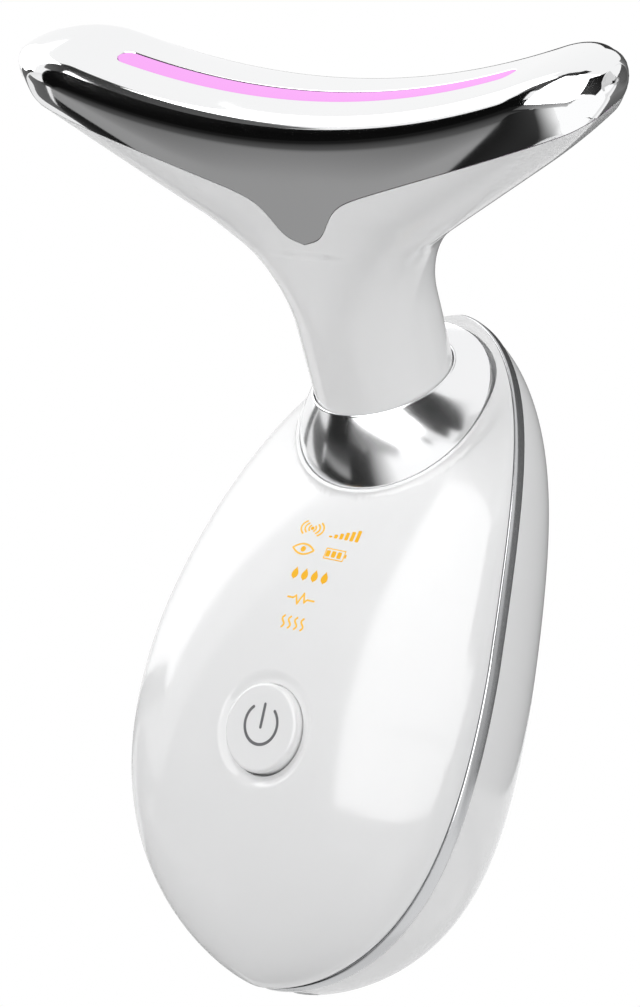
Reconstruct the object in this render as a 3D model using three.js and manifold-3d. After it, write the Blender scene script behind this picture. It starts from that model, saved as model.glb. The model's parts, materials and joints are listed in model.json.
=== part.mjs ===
// Hand-held face and neck massager: an egg-shaped body, a leaning neck and a saddle-shaped head.
// Millimetres, +Z up along the body, its face towards -Y, origin in the middle of the hand's grip.
import * as THREE from "three";
import { mergeVertices } from "three/addons/utils/BufferGeometryUtils.js";
import Module from "manifold-3d";

const wasm = await Module();
wasm.setup();

// Body: an egg outline in the XZ plane, on a parting surface that bows back towards both ends
const gripDepth = 9.5; // from the origin forward to the middle of the parting surface
const eggHalfWidth = 25.2;
const eggHalfLength = 44;
const eggTaper = 0.23; // narrower above the middle, wider below
const eggFullness = 0.27;
const eggSideExponent = 1.28;
const eggEndExponent = 1.06;
const bowSlope = -0.045;
const bowCurve = 0.0044;
const frontHeight = 6.1;
const frontExponent = 2.07;
const frontShift = -6.2; // the front dome's summit lies below the middle
const rearHeight = 22.5;
const rearExponent = 3;
const rearTopExponent = 1.65; // the rear dome is less full at its upper end
const rearShift = -1.3;
const restFlatDepth = 0.45; // how deep the flat rest cuts into the rear dome
const shellWall = 2;
const bandWidth = 2.4;
const bandProud = 0.3;
const bandDepth = 2.2;
const bandGap = 0.1;

// Clearances of pieces that fit together, and of pieces that lie on one another
const fit = 0.15;
const seat = 0.3;

// Round opening of the front shell. Its flat rim stands up from the dome, most of all at its top.
const openingRadius = 13.3;
const openingZ = 29;
const openingTurn = 3.3; // degrees by which the rim is turned further up than the face
const rimProud = 0.13;
const rimWidth = 0.6;
const rimFlare = 5; // fillet radius between the rim and the dome
const rimDepth = 4.5;

// Collar, seated on a ledge in the opening
const ledgeWidth = 2.6;
const ledgeDepth = 1.2;
const collarWall = 1.4;
const collarSkirt = 5;
const collarFullness = 1.2; // 1 is a straight cone, more is convex

// Neck: its axis leans forward from the opening and meets the crown of the head
const neckTilt = 50;
const neckReach = 41.9; // from the opening's middle to the crown
const neckSetback = 0.6; // how far the axis passes in front of the opening's middle
const neckRadius = 8.9;
const neckWall = 2.9;
const neckVisible = 37.5; // from the crown down to the collar's mouth
const mouthTurn = 5; // degrees by which the collar's mouth is turned from square to the neck
const neckFlare = 13; // fillet radius between the neck and the wings

// Head: a bar with a concave crown, a flat front and straight undersides that rise to its tips
const crownRadius = 107;
const crownRise = 0.4; // how much higher the crown is than its two edges
const headHalfWidth = 44.9;
const barHalfDepth = 8;
const barEdgeRadius = 2.8;
const barKeelRadius = 2;
const tipLength = 11.5;
const rearTipLength = 14;
const tipDrop = 0.5; // how far the tips' middles sink
const tipForward = 1.8; // and how far they move to the front
const tipEdgeRadius = 5;
const keelDepth = 25.9; // where the two straight undersides would meet below the crown
const keelSlope = 0.59;
const wingSquareness = 3.2; // exponents of the wings' level sections, along X and along Y
const wingGrowth = 0.45; // how much squarer they get with each millimetre above the neck
const wingRoundness = 2.5;
const neckTop = -14; // above this height the neck has become the bar
const housingWall = 1.8;
const ribThickness = 1.5;
const ribDepth = 7.5;

// Electrode plate over the crown and the front, parted from the housing along a line with a tongue
const plateThickness = 1;
const partingDepth = 11.9;
const partingSlope = 0.296;
const rearPartingDepth = 6;
const tongueDrop = 3.8;
const tongueHalfWidth = 4.5;
const tongueSharpness = 5;

// Light strip in the crown
const stripHalfLength = 30;
const stripHalfWidth = 1.25;
const lensFlangeWidth = 1;
const lensDepth = 2;
const lensFlangeThickness = 0.7;
const ledHeight = 0.8;
const ledSize = 1.6;
const ledCount = 6;
const ledPitch = 10;
const ledBoardHalfWidth = 2.8;
const ledBoardThickness = 0.8;
const heaterThickness = 0.3;
const heaterNear = 2.9;
const heaterFar = 5.6;

// Vibration motor, lying across the head
const motorRadius = 3.5;
const motorLength = 12;
const motorDepth = 12.5; // its axis below the crown
const motorX = -4;
const sleeveWall = 1;
const sleeveLength = 8;
const weightRadius = 3;
const weightLength = 4;
const hubRadius = 1.2;
const shaftRadius = 0.5;
const shaftSunk = 2.4;

// Neck flange behind the opening, and screws
const flangeRadius = 14.4;
const flangeBore = 5;
const flangeBack = 6.4; // from the opening's plane to the back of the flange
const neckScrewX = 7.45;
const screwRadius = 1;
const screwHeadRadius = 1.8;
const screwHeadHeight = 1.2;
const screwLength = 6;
const neckScrewLength = 9;

// Main board, square to the button's travel
const buttonZ = -15.1;
const boardBehindFace = 12.7; // from the shell's face at the button back to the board
const boardThickness = 1.6;
const boardHalfWidth = 15.5;
const boardTop = 26.3;
const boardBottom = -27;
const boardCorner = 4;
const boardScrewX = 12.7;
const boardScrewLow = -16;
const boardScrewHigh = 20.5;
const postRadius = 2.1;

// Button and its switch
const buttonRadius = 5.5;
const buttonProud = 1.1;
const buttonEdge = 0.5;
const buttonTravel = 0.5;
const buttonRim = 0.9;
const buttonRimThickness = 0.8;
const buttonStemRadius = 1.6;
const dishRadius = 6.9;
const dishDepth = 0.5;
const dishFlare = 2;
const switchSize = 6;
const switchHeight = 3.5;
const plungerRadius = 1.7;
const plungerHeight = 2.6;
const plungerSunk = 0.5;

// Display: lamps in the cells of a guide behind the thin face
const guideHalfWidth = 7.2;
const guideMargin = 1.8;
const displayLow = 13.2;
const displayPitch = 3.02;
const cellHeight = 1.9;
const lampWidth = 1;
const lampHeight = 0.8;
const lampThickness = 0.6;
// The cells, row by row from the top: the middle and the width of each
const displayRows = [
  [[-3, 4], [0.9, 1.3], [2.8, 1.3], [4.7, 1.3]],
  [[-2.6, 3.6], [2.6, 3.6]],
  [[0, 5.6]],
  [[0, 4.4]],
  [[0, 4.4]],
];

// Battery, chip and charging socket
const batteryWidth = 20;
const batteryLength = 35;
const batteryThickness = 5;
const batteryEdge = 1.5;
const batteryZ = -4;
const padThickness = 1.2;
const chipSize = 5;
const chipThickness = 0.9;
const chipX = 5;
const chipZ = -14;
const socketWidth = 8.94;
const socketHeight = 3.2;
const socketLength = 7.3;
const socketWall = 0.3;
const socketMouth = 30.5; // from the button's axis down to the socket's mouth
const socketTongue = 0.7;
const socketTongueWidth = 6.7;
const slotMargin = 0.25;

// Leads and the contact that joins the band to the board
const leadRadius = 0.7;
const contactThickness = 0.3;
const contactWidth = 3;
const contactZ = 4.8;
const contactFoot = 3.5;

// Where the leads run: points in the head's frame, then points behind the main board in its frame
const headLeadInHead = [[12, 1, -4.93], [11, 1, -9], [8.5, 1, -17], [4, 1, -24], [2.2, 0, -31]];
const motorLeadInHead = [[-11, 0, -15.8], [-6, 0, -20.5], [-3, 0, -27], [-2.4, 0, -34]];
const leadOutOfNeck = [[2.2, 0, -42], [2.2, 1, -48]];
const leadOntoBoard = [[3, 5.5, 23], [3, 3.5, 19.5], [3, seat, 18.5]];
const batteryLeadX = -6.5;

// Counts and reaches that only serve the making of the shapes
const around = 52;
const beyond = 99; // past the outside of everything
const columnExponent = 12; // makes a dome all but a column
const radians = THREE.MathUtils.degToRad;
const vector = (x, y, z) => new THREE.Vector3(x, y, z);

const look = (color, roughness, metalness = 0) =>
  new THREE.MeshStandardMaterial({ color, roughness, metalness });
const whiteGloss = look(0xf2f2f2, 0.15);
const chrome = look(0xd8d8da, 0.06, 1);
const silver = look(0xb8babd, 0.25, 1);
const steel = look(0x9a9c9e, 0.35, 1);
const darkPlastic = look(0x26272a, 0.5);
const boardGreen = look(0x1f5a3a, 0.5);
const rubber = look(0x3a3a3c, 0.85);
const pinkLight = look(0xf7b3f5, 0.3);
const amberLight = look(0xffb020, 0.3);
const leadRed = look(0x8c2a24, 0.6);

// A geometry as a solid: shared corners merged, empty triangles dropped, faces turned outwards.
function solidOf(geometry) {
  const bare = geometry.index ? geometry.toNonIndexed() : geometry;
  const merged = mergeVertices(
    new THREE.BufferGeometry().setAttribute("position", bare.getAttribute("position")),
    1e-4,
  );
  const index = merged.index.array;
  const kept = [];
  for (let i = 0; i < index.length; i += 3) {
    const [a, b, c] = [index[i], index[i + 1], index[i + 2]];
    if (a !== b && b !== c && c !== a) kept.push(a, b, c);
  }
  const corners = { numProp: 3, vertProperties: merged.attributes.position.array };
  const made = new wasm.Manifold(new wasm.Mesh({ ...corners, triVerts: new Uint32Array(kept) }));
  if (made.volume() > 0) return made;
  kept.reverse();
  return new wasm.Manifold(new wasm.Mesh({ ...corners, triVerts: new Uint32Array(kept) }));
}

function geometryOf(solid) {
  const mesh = solid.getMesh();
  const corners = new Float32Array(mesh.numVert * 3);
  for (let i = 0; i < mesh.numVert; i++) {
    corners.set(mesh.vertProperties.subarray(i * mesh.numProp, i * mesh.numProp + 3), i * 3);
  }
  const geometry = new THREE.BufferGeometry();
  geometry.setAttribute("position", new THREE.BufferAttribute(corners, 3));
  geometry.setIndex(new THREE.BufferAttribute(new Uint32Array(mesh.triVerts), 1));
  geometry.computeVertexNormals();
  return geometry;
}

function piece(name, shape, material, parent) {
  const geometry = geometryOf(shape.isBufferGeometry ? solidOf(shape) : shape);
  const mesh = new THREE.Mesh(geometry, material);
  mesh.name = name;
  parent.add(mesh);
  return mesh;
}

// A closed skin over rings with the same number of points. Its ends close on two points, or, where
// none are given, the last ring joins the first.
function loft(rings, first, last) {
  const count = rings[0].length;
  const points = rings.flat();
  const index = [];
  const bridge = (a, b) => {
    for (let i = 0; i < count; i++) {
      const j = (i + 1) % count;
      index.push(a + i, b + i, b + j, a + i, b + j, a + j);
    }
  };
  for (let r = 0; r + 1 < rings.length; r++) bridge(r * count, (r + 1) * count);
  const end = (rings.length - 1) * count;
  if (first) {
    points.push(first, last);
    for (let i = 0; i < count; i++) {
      const j = (i + 1) % count;
      index.push(points.length - 2, i, j, points.length - 1, end + j, end + i);
    }
  } else {
    bridge(end, 0);
  }
  const geometry = new THREE.BufferGeometry().setFromPoints(points);
  geometry.setIndex(index);
  return geometry;
}

const steps = (count, from, to) =>
  Array.from({ length: count + 1 }, (_, i) => from + ((to - from) * i) / count);
const turns = (count) => Array.from({ length: count }, (_, i) => (2 * Math.PI * i) / count);
const signedPower = (value, exponent) => Math.sign(value) * Math.abs(value) ** exponent;

// Simple shapes. A bar runs along Z, a post along Y and an axle along X.
function bar(radius, from, to, x = 0, y = 0, sides = 24) {
  const geometry = new THREE.CylinderGeometry(radius, radius, to - from, sides);
  geometry.rotateX(Math.PI / 2);
  return geometry.translate(x, y, (from + to) / 2);
}

function post(radius, from, to, x = 0, z = 0, sides = 16) {
  const geometry = new THREE.CylinderGeometry(radius, radius, to - from, sides);
  return geometry.translate(x, (from + to) / 2, z);
}

function axle(radius, from, to, z, sides = 24) {
  const geometry = new THREE.CylinderGeometry(radius, radius, to - from, sides);
  geometry.rotateZ(Math.PI / 2);
  return geometry.translate((from + to) / 2, 0, z);
}

function box(x0, x1, y0, y1, z0, z1) {
  const geometry = new THREE.BoxGeometry(x1 - x0, y1 - y0, z1 - z0);
  return geometry.translate((x0 + x1) / 2, (y0 + y1) / 2, (z0 + z1) / 2);
}

// A flat outline in X and Z with round corners, given a thickness along Y.
function plate(x0, x1, z0, z1, corner, y0, y1) {
  const shape = new THREE.Shape();
  const quarter = Math.PI / 2;
  shape.absarc(x1 - corner, z1 - corner, corner, 0, quarter);
  shape.absarc(x0 + corner, z1 - corner, corner, quarter, 2 * quarter);
  shape.absarc(x0 + corner, z0 + corner, corner, 2 * quarter, 3 * quarter);
  shape.absarc(x1 - corner, z0 + corner, corner, 3 * quarter, 4 * quarter);
  const settings = { depth: y1 - y0, bevelEnabled: false, curveSegments: 4 };
  const geometry = new THREE.ExtrudeGeometry(shape, settings);
  geometry.rotateX(Math.PI / 2);
  return geometry.translate(0, y1, 0);
}

// A round lead along a smooth curve through the points.
function lead(points) {
  const shape = new THREE.Shape();
  shape.absarc(0, 0, leadRadius, 0, 2 * Math.PI);
  const extrudePath = new THREE.CatmullRomCurve3(points.map(([x, y, z]) => vector(x, y, z)));
  return new THREE.ExtrudeGeometry(shape, { steps: 22, curveSegments: 6, extrudePath });
}

const placed = (shape, frame) => solidOf(shape.applyMatrix4(frame));

// The egg outline, drawn in by an inset.
function eggPoint(s, side, inset) {
  const width = 1 - eggTaper * s + eggFullness * s * s;
  return {
    x: (eggHalfWidth - inset) * signedPower(side, eggSideExponent) * width,
    z: (eggHalfLength - inset) * signedPower(s, eggEndExponent),
  };
}
const eggOutline = (inset) =>
  turns(around).map((angle) => eggPoint(Math.sin(angle), Math.cos(angle), inset));

function eggHalfWidthAt(z) {
  const s = signedPower(z / eggHalfLength, 1 / eggEndExponent);
  return eggPoint(s, Math.sqrt(1 - s * s), 0).x;
}

// How far the parting surface lies behind its middle at a height.
const bow = (z) => bowSlope * z + bowCurve * z * z;
const rise = (share, exponent) => Math.sqrt(Math.max(1 - Math.abs(share) ** exponent, 0));

// One half of the body, from its dome to a sheet that follows the parting surface.
function domeHalf({ height, exponent, topExponent, shift, base, sheetY, inset }) {
  const outline = eggOutline(inset);
  const depth = height - Math.sign(height) * inset;
  const dome = steps(9, 0.1, 1).map((part) => {
    const share = Math.sin((part * Math.PI) / 2);
    return outline.map(({ x, z }) => {
      const power = THREE.MathUtils.lerp(exponent, topExponent, Math.max(z / eggHalfLength, 0));
      const up = rise(share, power);
      return vector(x * share, bow(z * share) + base + depth * up, z * share + shift * up);
    });
  });
  const sheet = steps(4, 1, 0.2).map((share) =>
    outline.map(({ x, z }) => vector(x * share, bow(z * share) + sheetY, z * share)),
  );
  if (sheetY === base) sheet.shift();
  return solidOf(loft([...dome, ...sheet], vector(0, base + depth, shift), vector(0, sheetY, 0)));
}

const frontHalf = (inset, sheetY = 0) =>
  domeHalf({
    height: -frontHeight,
    exponent: frontExponent,
    topExponent: frontExponent,
    shift: frontShift,
    base: 0,
    sheetY,
    inset,
  });
const rearHalf = (inset, sheetY = bandWidth) =>
  domeHalf({
    height: rearHeight,
    exponent: rearExponent,
    topExponent: rearTopExponent,
    shift: rearShift,
    base: bandWidth,
    sheetY,
    inset,
  });
const bodyInside = (inset) => frontHalf(inset, bandWidth).add(rearHalf(inset, 0));

// The face on the middle line: its Y at a height, found by halving.
function faceY(z) {
  let [low, high] = [-1, 1];
  for (let i = 0; i < 40; i++) {
    const share = (low + high) / 2;
    const height = eggHalfLength * share + frontShift * rise(share, frontExponent);
    if (height < z) low = share;
    else high = share;
  }
  return bow(eggHalfLength * low) - frontHeight * rise(low, frontExponent);
}

// A frame that stands in the plane X = 0, its Z axis leaning forward by an angle.
const frame = (y, z, angle) => new THREE.Matrix4().makeRotationX(angle).setPosition(0, y, z);

// The opening's rim: it takes the slope of the face between its lowest and its highest point, and is
// turned up a little more.
function openingPlace() {
  let chord = radians(75);
  for (let i = 0; i < 8; i++) {
    const half = openingRadius * Math.sin(chord);
    chord = Math.atan2(2 * half, faceY(openingZ + half) - faceY(openingZ - half));
  }
  return { y: faceY(openingZ) - rimProud, angle: chord + radians(openingTurn) };
}
const opening = openingPlace();
const openingFrame = frame(opening.y, openingZ, opening.angle);

const headAngle = radians(neckTilt);
const headShift = vector(0, -neckSetback, neckReach).applyMatrix4(frame(0, 0, headAngle));
const headFrame = frame(opening.y + headShift.y, openingZ + headShift.z, headAngle);

const faceSlope = faceY(buttonZ + 0.5) - faceY(buttonZ - 0.5);
const boardAngle = Math.atan(-faceSlope);
const boardFrame = frame(
  faceY(buttonZ) + boardBehindFace * Math.cos(boardAngle),
  buttonZ + boardBehindFace * Math.sin(boardAngle),
  boardAngle,
);

// The front dome moved back into the body, as the seat of what stands in the opening.
const ledgeDome = (depth) => frontHalf(0, 6 * bandWidth).translate(0, depth, 0);

const boardScrews = [boardScrewLow, boardScrewHigh].flatMap((z) => [
  [-boardScrewX, z],
  [boardScrewX, z],
]);

// The dome's rim round the opening: a round boss with a hollow flank, kept inside the egg outline.
function openingRim() {
  const column = domeHalf({
    height: -3 * frontHeight,
    exponent: columnExponent,
    topExponent: columnExponent,
    shift: 0,
    base: 0,
    sheetY: 0,
    inset: 0,
  });
  const flank = steps(6, rimDepth, 0).map((down) => {
    const out = rimFlare - Math.sqrt(rimFlare ** 2 - down ** 2);
    return new THREE.Vector2(openingRadius + rimWidth + out, -down);
  });
  const profile = [new THREE.Vector2(0, -rimDepth), ...flank, new THREE.Vector2(0, 0)];
  const boss = new THREE.LatheGeometry(profile, 48).rotateX(Math.PI / 2);
  return placed(boss, openingFrame).intersect(column);
}

// Front shell: dome, posts for the board, rimmed opening with a ledge for the collar, dish and hole
// for the button.
function frontShell() {
  const skin = frontHalf(shellWall / 2, bandWidth + shellWall);
  const through = 3 * shellWall;
  const pocket = placed(bar(openingRadius, -through, through, 0, 0, 48), openingFrame);
  let shell = frontHalf(0).add(openingRim()).subtract(frontHalf(shellWall, 2 * bandWidth));
  for (const [x, z] of boardScrews) {
    const stem = placed(post(postRadius, -2 * boardBehindFace, -fit, x, z), boardFrame);
    const bore = placed(post(screwRadius + fit, fit - screwLength, 0, x, z, 8), boardFrame);
    shell = shell.add(stem.intersect(skin).subtract(bore));
  }
  return shell
    .subtract(pocket.subtract(ledgeDome(ledgeDepth)))
    .subtract(placed(bar(openingRadius - ledgeWidth, -through, through, 0, 0, 48), openingFrame))
    .subtract(placed(dish(), boardFrame))
    .subtract(placed(post(buttonRadius + fit, -2 * boardBehindFace, 0, 0, 0, 36), boardFrame));
}

// The dish round the button, as a cut with a sloping side.
function dish() {
  const floor = -boardBehindFace + dishDepth;
  const wide = dishRadius + dishFlare;
  const deep = dishDepth + dishFlare;
  const geometry = new THREE.CylinderGeometry(dishRadius - dishDepth, wide, deep, 36);
  return geometry.translate(0, floor - deep / 2, 0);
}

// Rear shell: the deep dome with a flat rest at its summit and the charging slot at its tail.
function rearShell() {
  const summit = bandWidth + rearHeight;
  const rest = box(-beyond, beyond, summit - restFlatDepth, beyond, -beyond, beyond);
  const half = { x: socketWidth / 2 + slotMargin, y: socketHeight / 2 + slotMargin };
  const middle = boardThickness + fit + socketHeight / 2;
  const slot = new THREE.Shape();
  slot.absarc(half.x - half.y, middle, half.y, -Math.PI / 2, Math.PI / 2);
  slot.absarc(half.y - half.x, middle, half.y, Math.PI / 2, (3 * Math.PI) / 2);
  const settings = { depth: 2 * socketLength, bevelEnabled: false, curveSegments: 8 };
  const cut = new THREE.ExtrudeGeometry(slot, settings);
  cut.translate(0, 0, -socketMouth - socketLength);
  return rearHalf(0)
    .subtract(rearHalf(shellWall, -bandWidth))
    .subtract(solidOf(rest))
    .subtract(placed(cut, boardFrame));
}

// Band between the shells: a ring whose outer side is rounded and stands proud of them. Grown by a
// gap on all sides, it's the space that the pieces inside the body leave free.
function seamRing(gap) {
  const middle = bandWidth / 2;
  const half = middle - bandGap + gap;
  const section = [
    [bandDepth + gap, half],
    [0, half],
    [-bandProud - gap, half / 2],
    [-bandProud - gap, -half / 2],
    [0, -half],
    [bandDepth + gap, -half],
  ];
  const rings = section.map(([inset, side]) =>
    eggOutline(inset).map(({ x, z }) => vector(x, bow(z) + middle + side, z)),
  );
  return solidOf(loft(rings));
}

// Collar: a hollow leaning cone whose round foot follows the opening, its mouth the neck.
function neckCollar() {
  const foot = openingRadius - fit;
  const mouth = neckRadius + fit;
  const start = { y: opening.y, z: openingZ, angle: opening.angle };
  const top = vector(0, 0, -neckVisible).applyMatrix4(headFrame);
  const finish = { y: top.y, z: top.z, angle: headAngle + radians(mouthTurn) };
  const ring = (share, radius, sunk) => {
    const angle = THREE.MathUtils.lerp(start.angle, finish.angle, share);
    const y = THREE.MathUtils.lerp(start.y, finish.y, share) + sunk * Math.sin(angle);
    const z = THREE.MathUtils.lerp(start.z, finish.z, share) - sunk * Math.cos(angle);
    return turns(44).map((turn) => {
      const across = radius * Math.sin(turn);
      return vector(
        radius * Math.cos(turn),
        y + across * Math.cos(angle),
        z + across * Math.sin(angle),
      );
    });
  };
  const parts = steps(6, 0, 1);
  const radius = (low, high, share) => THREE.MathUtils.lerp(low, high, share ** collarFullness);
  const outside = parts.map((share) => ring(share, radius(foot, mouth, share), 0));
  const inside = parts.map((share) =>
    ring(share, radius(foot - collarWall, mouth + fit, share), collarWall * share),
  );
  const skirt = [ring(0, foot - collarWall, collarSkirt), ring(0, foot, collarSkirt)];
  return solidOf(loft([...outside, ...inside.reverse(), ...skirt]))
    .subtract(ledgeDome(ledgeDepth - fit))
    .subtract(seamRing(seat));
}

const crown = (x) => (x * x) / (2 * crownRadius);

// How much of a section's size is left towards a tip of the given length.
function tipShrink(x, width, length) {
  const into = Math.max((Math.abs(x) - (width - length)) / length, 0);
  return Math.sqrt(Math.max(1 - into * into, 0));
}

// One section of the head's bar in Y and Z: a rectangle with round corners and a crowned top.
function barSection(x, inset) {
  const width = headHalfWidth - inset;
  const shrink = tipShrink(x, width, tipLength);
  const rearShrink = tipShrink(x, width, rearTipLength);
  const top = crown(x) - inset;
  const bottom = -keelDepth + keelSlope * Math.abs(x) + inset;
  const middle = (top + bottom) / 2 - tipDrop * (1 - shrink);
  const half = Math.max(((top - bottom) / 2) * shrink, 0.02);
  const side = Math.max((barHalfDepth - inset) * shrink, 0.02);
  const most = 0.96 * Math.min(half, side);
  const edge = Math.min(THREE.MathUtils.lerp(tipEdgeRadius, barEdgeRadius, shrink), most);
  const keel = Math.min(THREE.MathUtils.lerp(tipEdgeRadius, barKeelRadius, shrink), most);
  const corner = (y, z, radius, start) =>
    steps(4, start, start + Math.PI / 2).map((turn) => {
      const across = y + radius * Math.cos(turn);
      const up = radius * Math.sin(turn) + z;
      const drop = crownRise * (across / side) ** 2 * Math.max((up - middle) / half, 0);
      const deep = across > 0 ? (across * rearShrink) / shrink : across;
      return vector(x, deep - tipForward * (1 - shrink), up - drop);
    });
  return [
    ...corner(side - edge, middle + half - edge, edge, 0),
    ...corner(edge - side, middle + half - edge, edge, Math.PI / 2),
    ...corner(keel - side, middle - half + keel, keel, Math.PI),
    ...corner(side - keel, middle - half + keel, keel, 1.5 * Math.PI),
  ];
}

function headBar(inset) {
  const width = headHalfWidth - inset;
  const rings = steps(26, -1, 1).map((part) => {
    const x = width * 0.999 * Math.sin((part * Math.PI) / 2);
    return barSection(x, inset);
  });
  const tip = (rings[0][4].z + rings[0][14].z) / 2;
  return solidOf(loft(rings, vector(-width, -tipForward, tip), vector(width, -tipForward, tip)));
}

// Neck and wings as level sections that grow from a circle to a long rounded shape. An arc joins the
// neck to the straight undersides.
function wings(inset, neckInset, end) {
  const lean = Math.atan(keelSlope);
  const touch = neckRadius + neckFlare * (1 - Math.sin(lean));
  const stop = keelSlope * touch - keelDepth;
  const start = stop - neckFlare * Math.cos(lean);
  const slant = Math.hypot(1, keelSlope) / keelSlope;
  const ring = (z) => {
    const arc = neckRadius + neckFlare - Math.sqrt(neckFlare ** 2 - Math.max(z - start, 0) ** 2);
    const share = THREE.MathUtils.smoothstep(z, start, neckTop);
    const blend = (from, to) => THREE.MathUtils.lerp(from, to, share);
    const wide = (z < stop ? arc : (z + keelDepth) / keelSlope) - blend(neckInset, inset * slant);
    const deep = blend(neckRadius - neckInset, barHalfDepth - inset);
    const a = blend(2, wingSquareness) + wingGrowth * Math.max(z - neckTop, 0);
    const b = blend(2, wingRoundness);
    return turns(44).map((turn) =>
      vector(
        wide * signedPower(Math.cos(turn), 2 / a),
        deep * signedPower(Math.sin(turn), 2 / b),
        z,
      ),
    );
  };
  const heights = [end, ...steps(10, start, stop), ...steps(7, stop + 3, 2 * barHalfDepth)];
  const rings = heights.map(ring);
  return solidOf(loft(rings, vector(0, 0, end), vector(0, 0, 2 * barHalfDepth)));
}

function headSolid(inset, neckInset, end = neckTop) {
  const grown = wings(inset, neckInset, end - 1);
  const below = solidOf(box(-headHalfWidth, headHalfWidth, -beyond, beyond, end - 2, neckTop));
  return grown.intersect(headBar(inset).add(below));
}

// The space above the parting line between plate and housing, lowered by a gap.
function plateSpace(gap) {
  const front = (x) =>
    partingSlope * Math.abs(x) -
    partingDepth -
    tongueDrop / (1 + Math.abs(x / tongueHalfWidth) ** tongueSharpness);
  const tip = partingSlope * headHalfWidth - partingDepth;
  const rearSlope = (tip + rearPartingDepth) / headHalfWidth;
  const rear = (x) => rearSlope * Math.abs(x) - rearPartingDepth;
  const reach = 1.5 * headHalfWidth;
  const side = (line, y0) => {
    const xs = [-reach, ...steps(22, -2.5 * tongueHalfWidth, 2.5 * tongueHalfWidth), reach];
    const shape = new THREE.Shape(xs.map((x) => new THREE.Vector2(x, line(x) - gap)));
    shape.lineTo(reach, reach);
    shape.lineTo(-reach, reach);
    const geometry = new THREE.ExtrudeGeometry(shape, { depth: 3 * barHalfDepth, bevelEnabled: false });
    geometry.rotateX(Math.PI / 2);
    return solidOf(geometry.translate(0, y0, 0));
  };
  return side(front, bandGap).add(side(rear, 3 * barHalfDepth));
}

// A strip that follows the crown, from one depth below it to another, with half-round ends.
function crownStrip(halfLength, y0, y1, top, bottom) {
  const halfWidth = (y1 - y0) / 2;
  const middle = (y0 + y1) / 2;
  const straight = halfLength - halfWidth;
  const half = [...steps(6, 0, straight), straight + halfWidth * 0.5, straight + halfWidth * 0.87];
  const xs = [...half.slice(1).reverse().map((x) => -x), ...half];
  const rings = xs.map((x) => {
    const past = Math.max(Math.abs(x) - straight, 0);
    const side = Math.sqrt(Math.max(halfWidth ** 2 - past ** 2, 0.01));
    const z = crown(x);
    return [
      vector(x, middle - side, z - bottom),
      vector(x, middle + side, z - bottom),
      vector(x, middle + side, z - top),
      vector(x, middle - side, z - top),
    ];
  });
  const end = (x) => vector(x, middle, crown(x) - (top + bottom) / 2);
  return loft(rings, end(xs[0]), end(xs[xs.length - 1]));
}

function electrodePlate() {
  const slot = crownStrip(
    stripHalfLength + fit,
    -stripHalfWidth - fit,
    stripHalfWidth + fit,
    -barEdgeRadius,
    lensDepth,
  );
  return headSolid(0, 0)
    .intersect(plateSpace(0))
    .subtract(headSolid(plateThickness, plateThickness))
    .subtract(solidOf(slot));
}

// Housing of the neck and wings: hollow, open above, with two ribs that cradle the motor's sleeve
// and a rim at the neck's end.
function neckHousing() {
  const end = -neckReach - openingRadius;
  const toHead = headFrame.clone().invert();
  const rim = bar(openingRadius - collarWall - 3 * fit, -collarSkirt, -collarWall, 0, 0, 40);
  const ledge = ledgeDome(ledgeDepth - fit).transform(toHead.elements);
  const foot = placed(rim, openingFrame).transform(toHead.elements).subtract(ledge);
  const hollow = headSolid(housingWall, neckWall, end - 5);
  const skin = headSolid(0, 0, end).subtract(ledge).subtract(plateSpace(seat));
  const sleeve = axle(motorRadius + sleeveWall + fit, -headHalfWidth, headHalfWidth, -motorDepth);
  const room = headSolid(plateThickness + seat, housingWall);
  const cradle = solidOf(rib(-1)).add(solidOf(rib(1))).intersect(room);
  let housing = skin.add(foot).subtract(hollow).add(cradle.subtract(solidOf(sleeve)));
  for (const side of [-1, 1]) {
    const bore = bar(screwRadius + fit, -screwLength, neckScrewLength - flangeBack, side * neckScrewX, 0, 8);
    housing = housing.subtract(solidOf(bore.applyMatrix4(openingFrame).applyMatrix4(toHead)));
  }
  return housing;
}

function rib(side) {
  const x = motorX + side * (sleeveLength / 2 - ribThickness);
  const half = ribThickness / 2;
  return box(x - half, x + half, -barHalfDepth, barHalfDepth, -motorDepth - ribDepth, -motorDepth);
}

// Flange behind the opening: a disc inside the shell and a plug through the hole to the neck's end.
function neckFlange() {
  const plugRadius = openingRadius - ledgeWidth - fit;
  const disc = placed(bar(flangeRadius, -flangeBack, shellWall, 0, 0, 40), openingFrame);
  const plug = placed(bar(plugRadius, -flangeBack, shellWall, 0, 0, 40), openingFrame);
  let flange = disc.intersect(bodyInside(shellWall + fit)).intersect(ledgeDome(shellWall + fit));
  flange = flange.add(plug.intersect(ledgeDome(ledgeDepth + fit)));
  const bore = bar(flangeBore, -beyond, beyond);
  flange = flange.subtract(placed(bore, openingFrame)).subtract(seamRing(seat));
  for (const side of [-1, 1]) {
    const hole = bar(screwRadius + fit, -beyond, beyond, side * neckScrewX, 0, 8);
    flange = flange.subtract(placed(hole, openingFrame));
  }
  return flange;
}

// A screw whose head lies on a face at the given place, its shank running forward along +Z.
function screw(length) {
  const shank = bar(screwRadius, -screwHeadHeight / 2, length, 0, 0, 8);
  return solidOf(bar(screwHeadRadius, -screwHeadHeight, 0, 0, 0, 12)).add(solidOf(shank));
}

// Light strip: the lens has a flange under the plate, and the lamps stand on a board below it.
function ledLens() {
  const flangeTop = plateThickness + fit + crownRise;
  const wide = stripHalfWidth + lensFlangeWidth;
  const face = crownStrip(stripHalfLength, -stripHalfWidth, stripHalfWidth, 0, flangeTop + 0.2);
  const flange = crownStrip(
    stripHalfLength + lensFlangeWidth,
    -wide,
    wide,
    flangeTop,
    flangeTop + lensFlangeThickness,
  );
  return solidOf(face).add(solidOf(flange));
}

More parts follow.
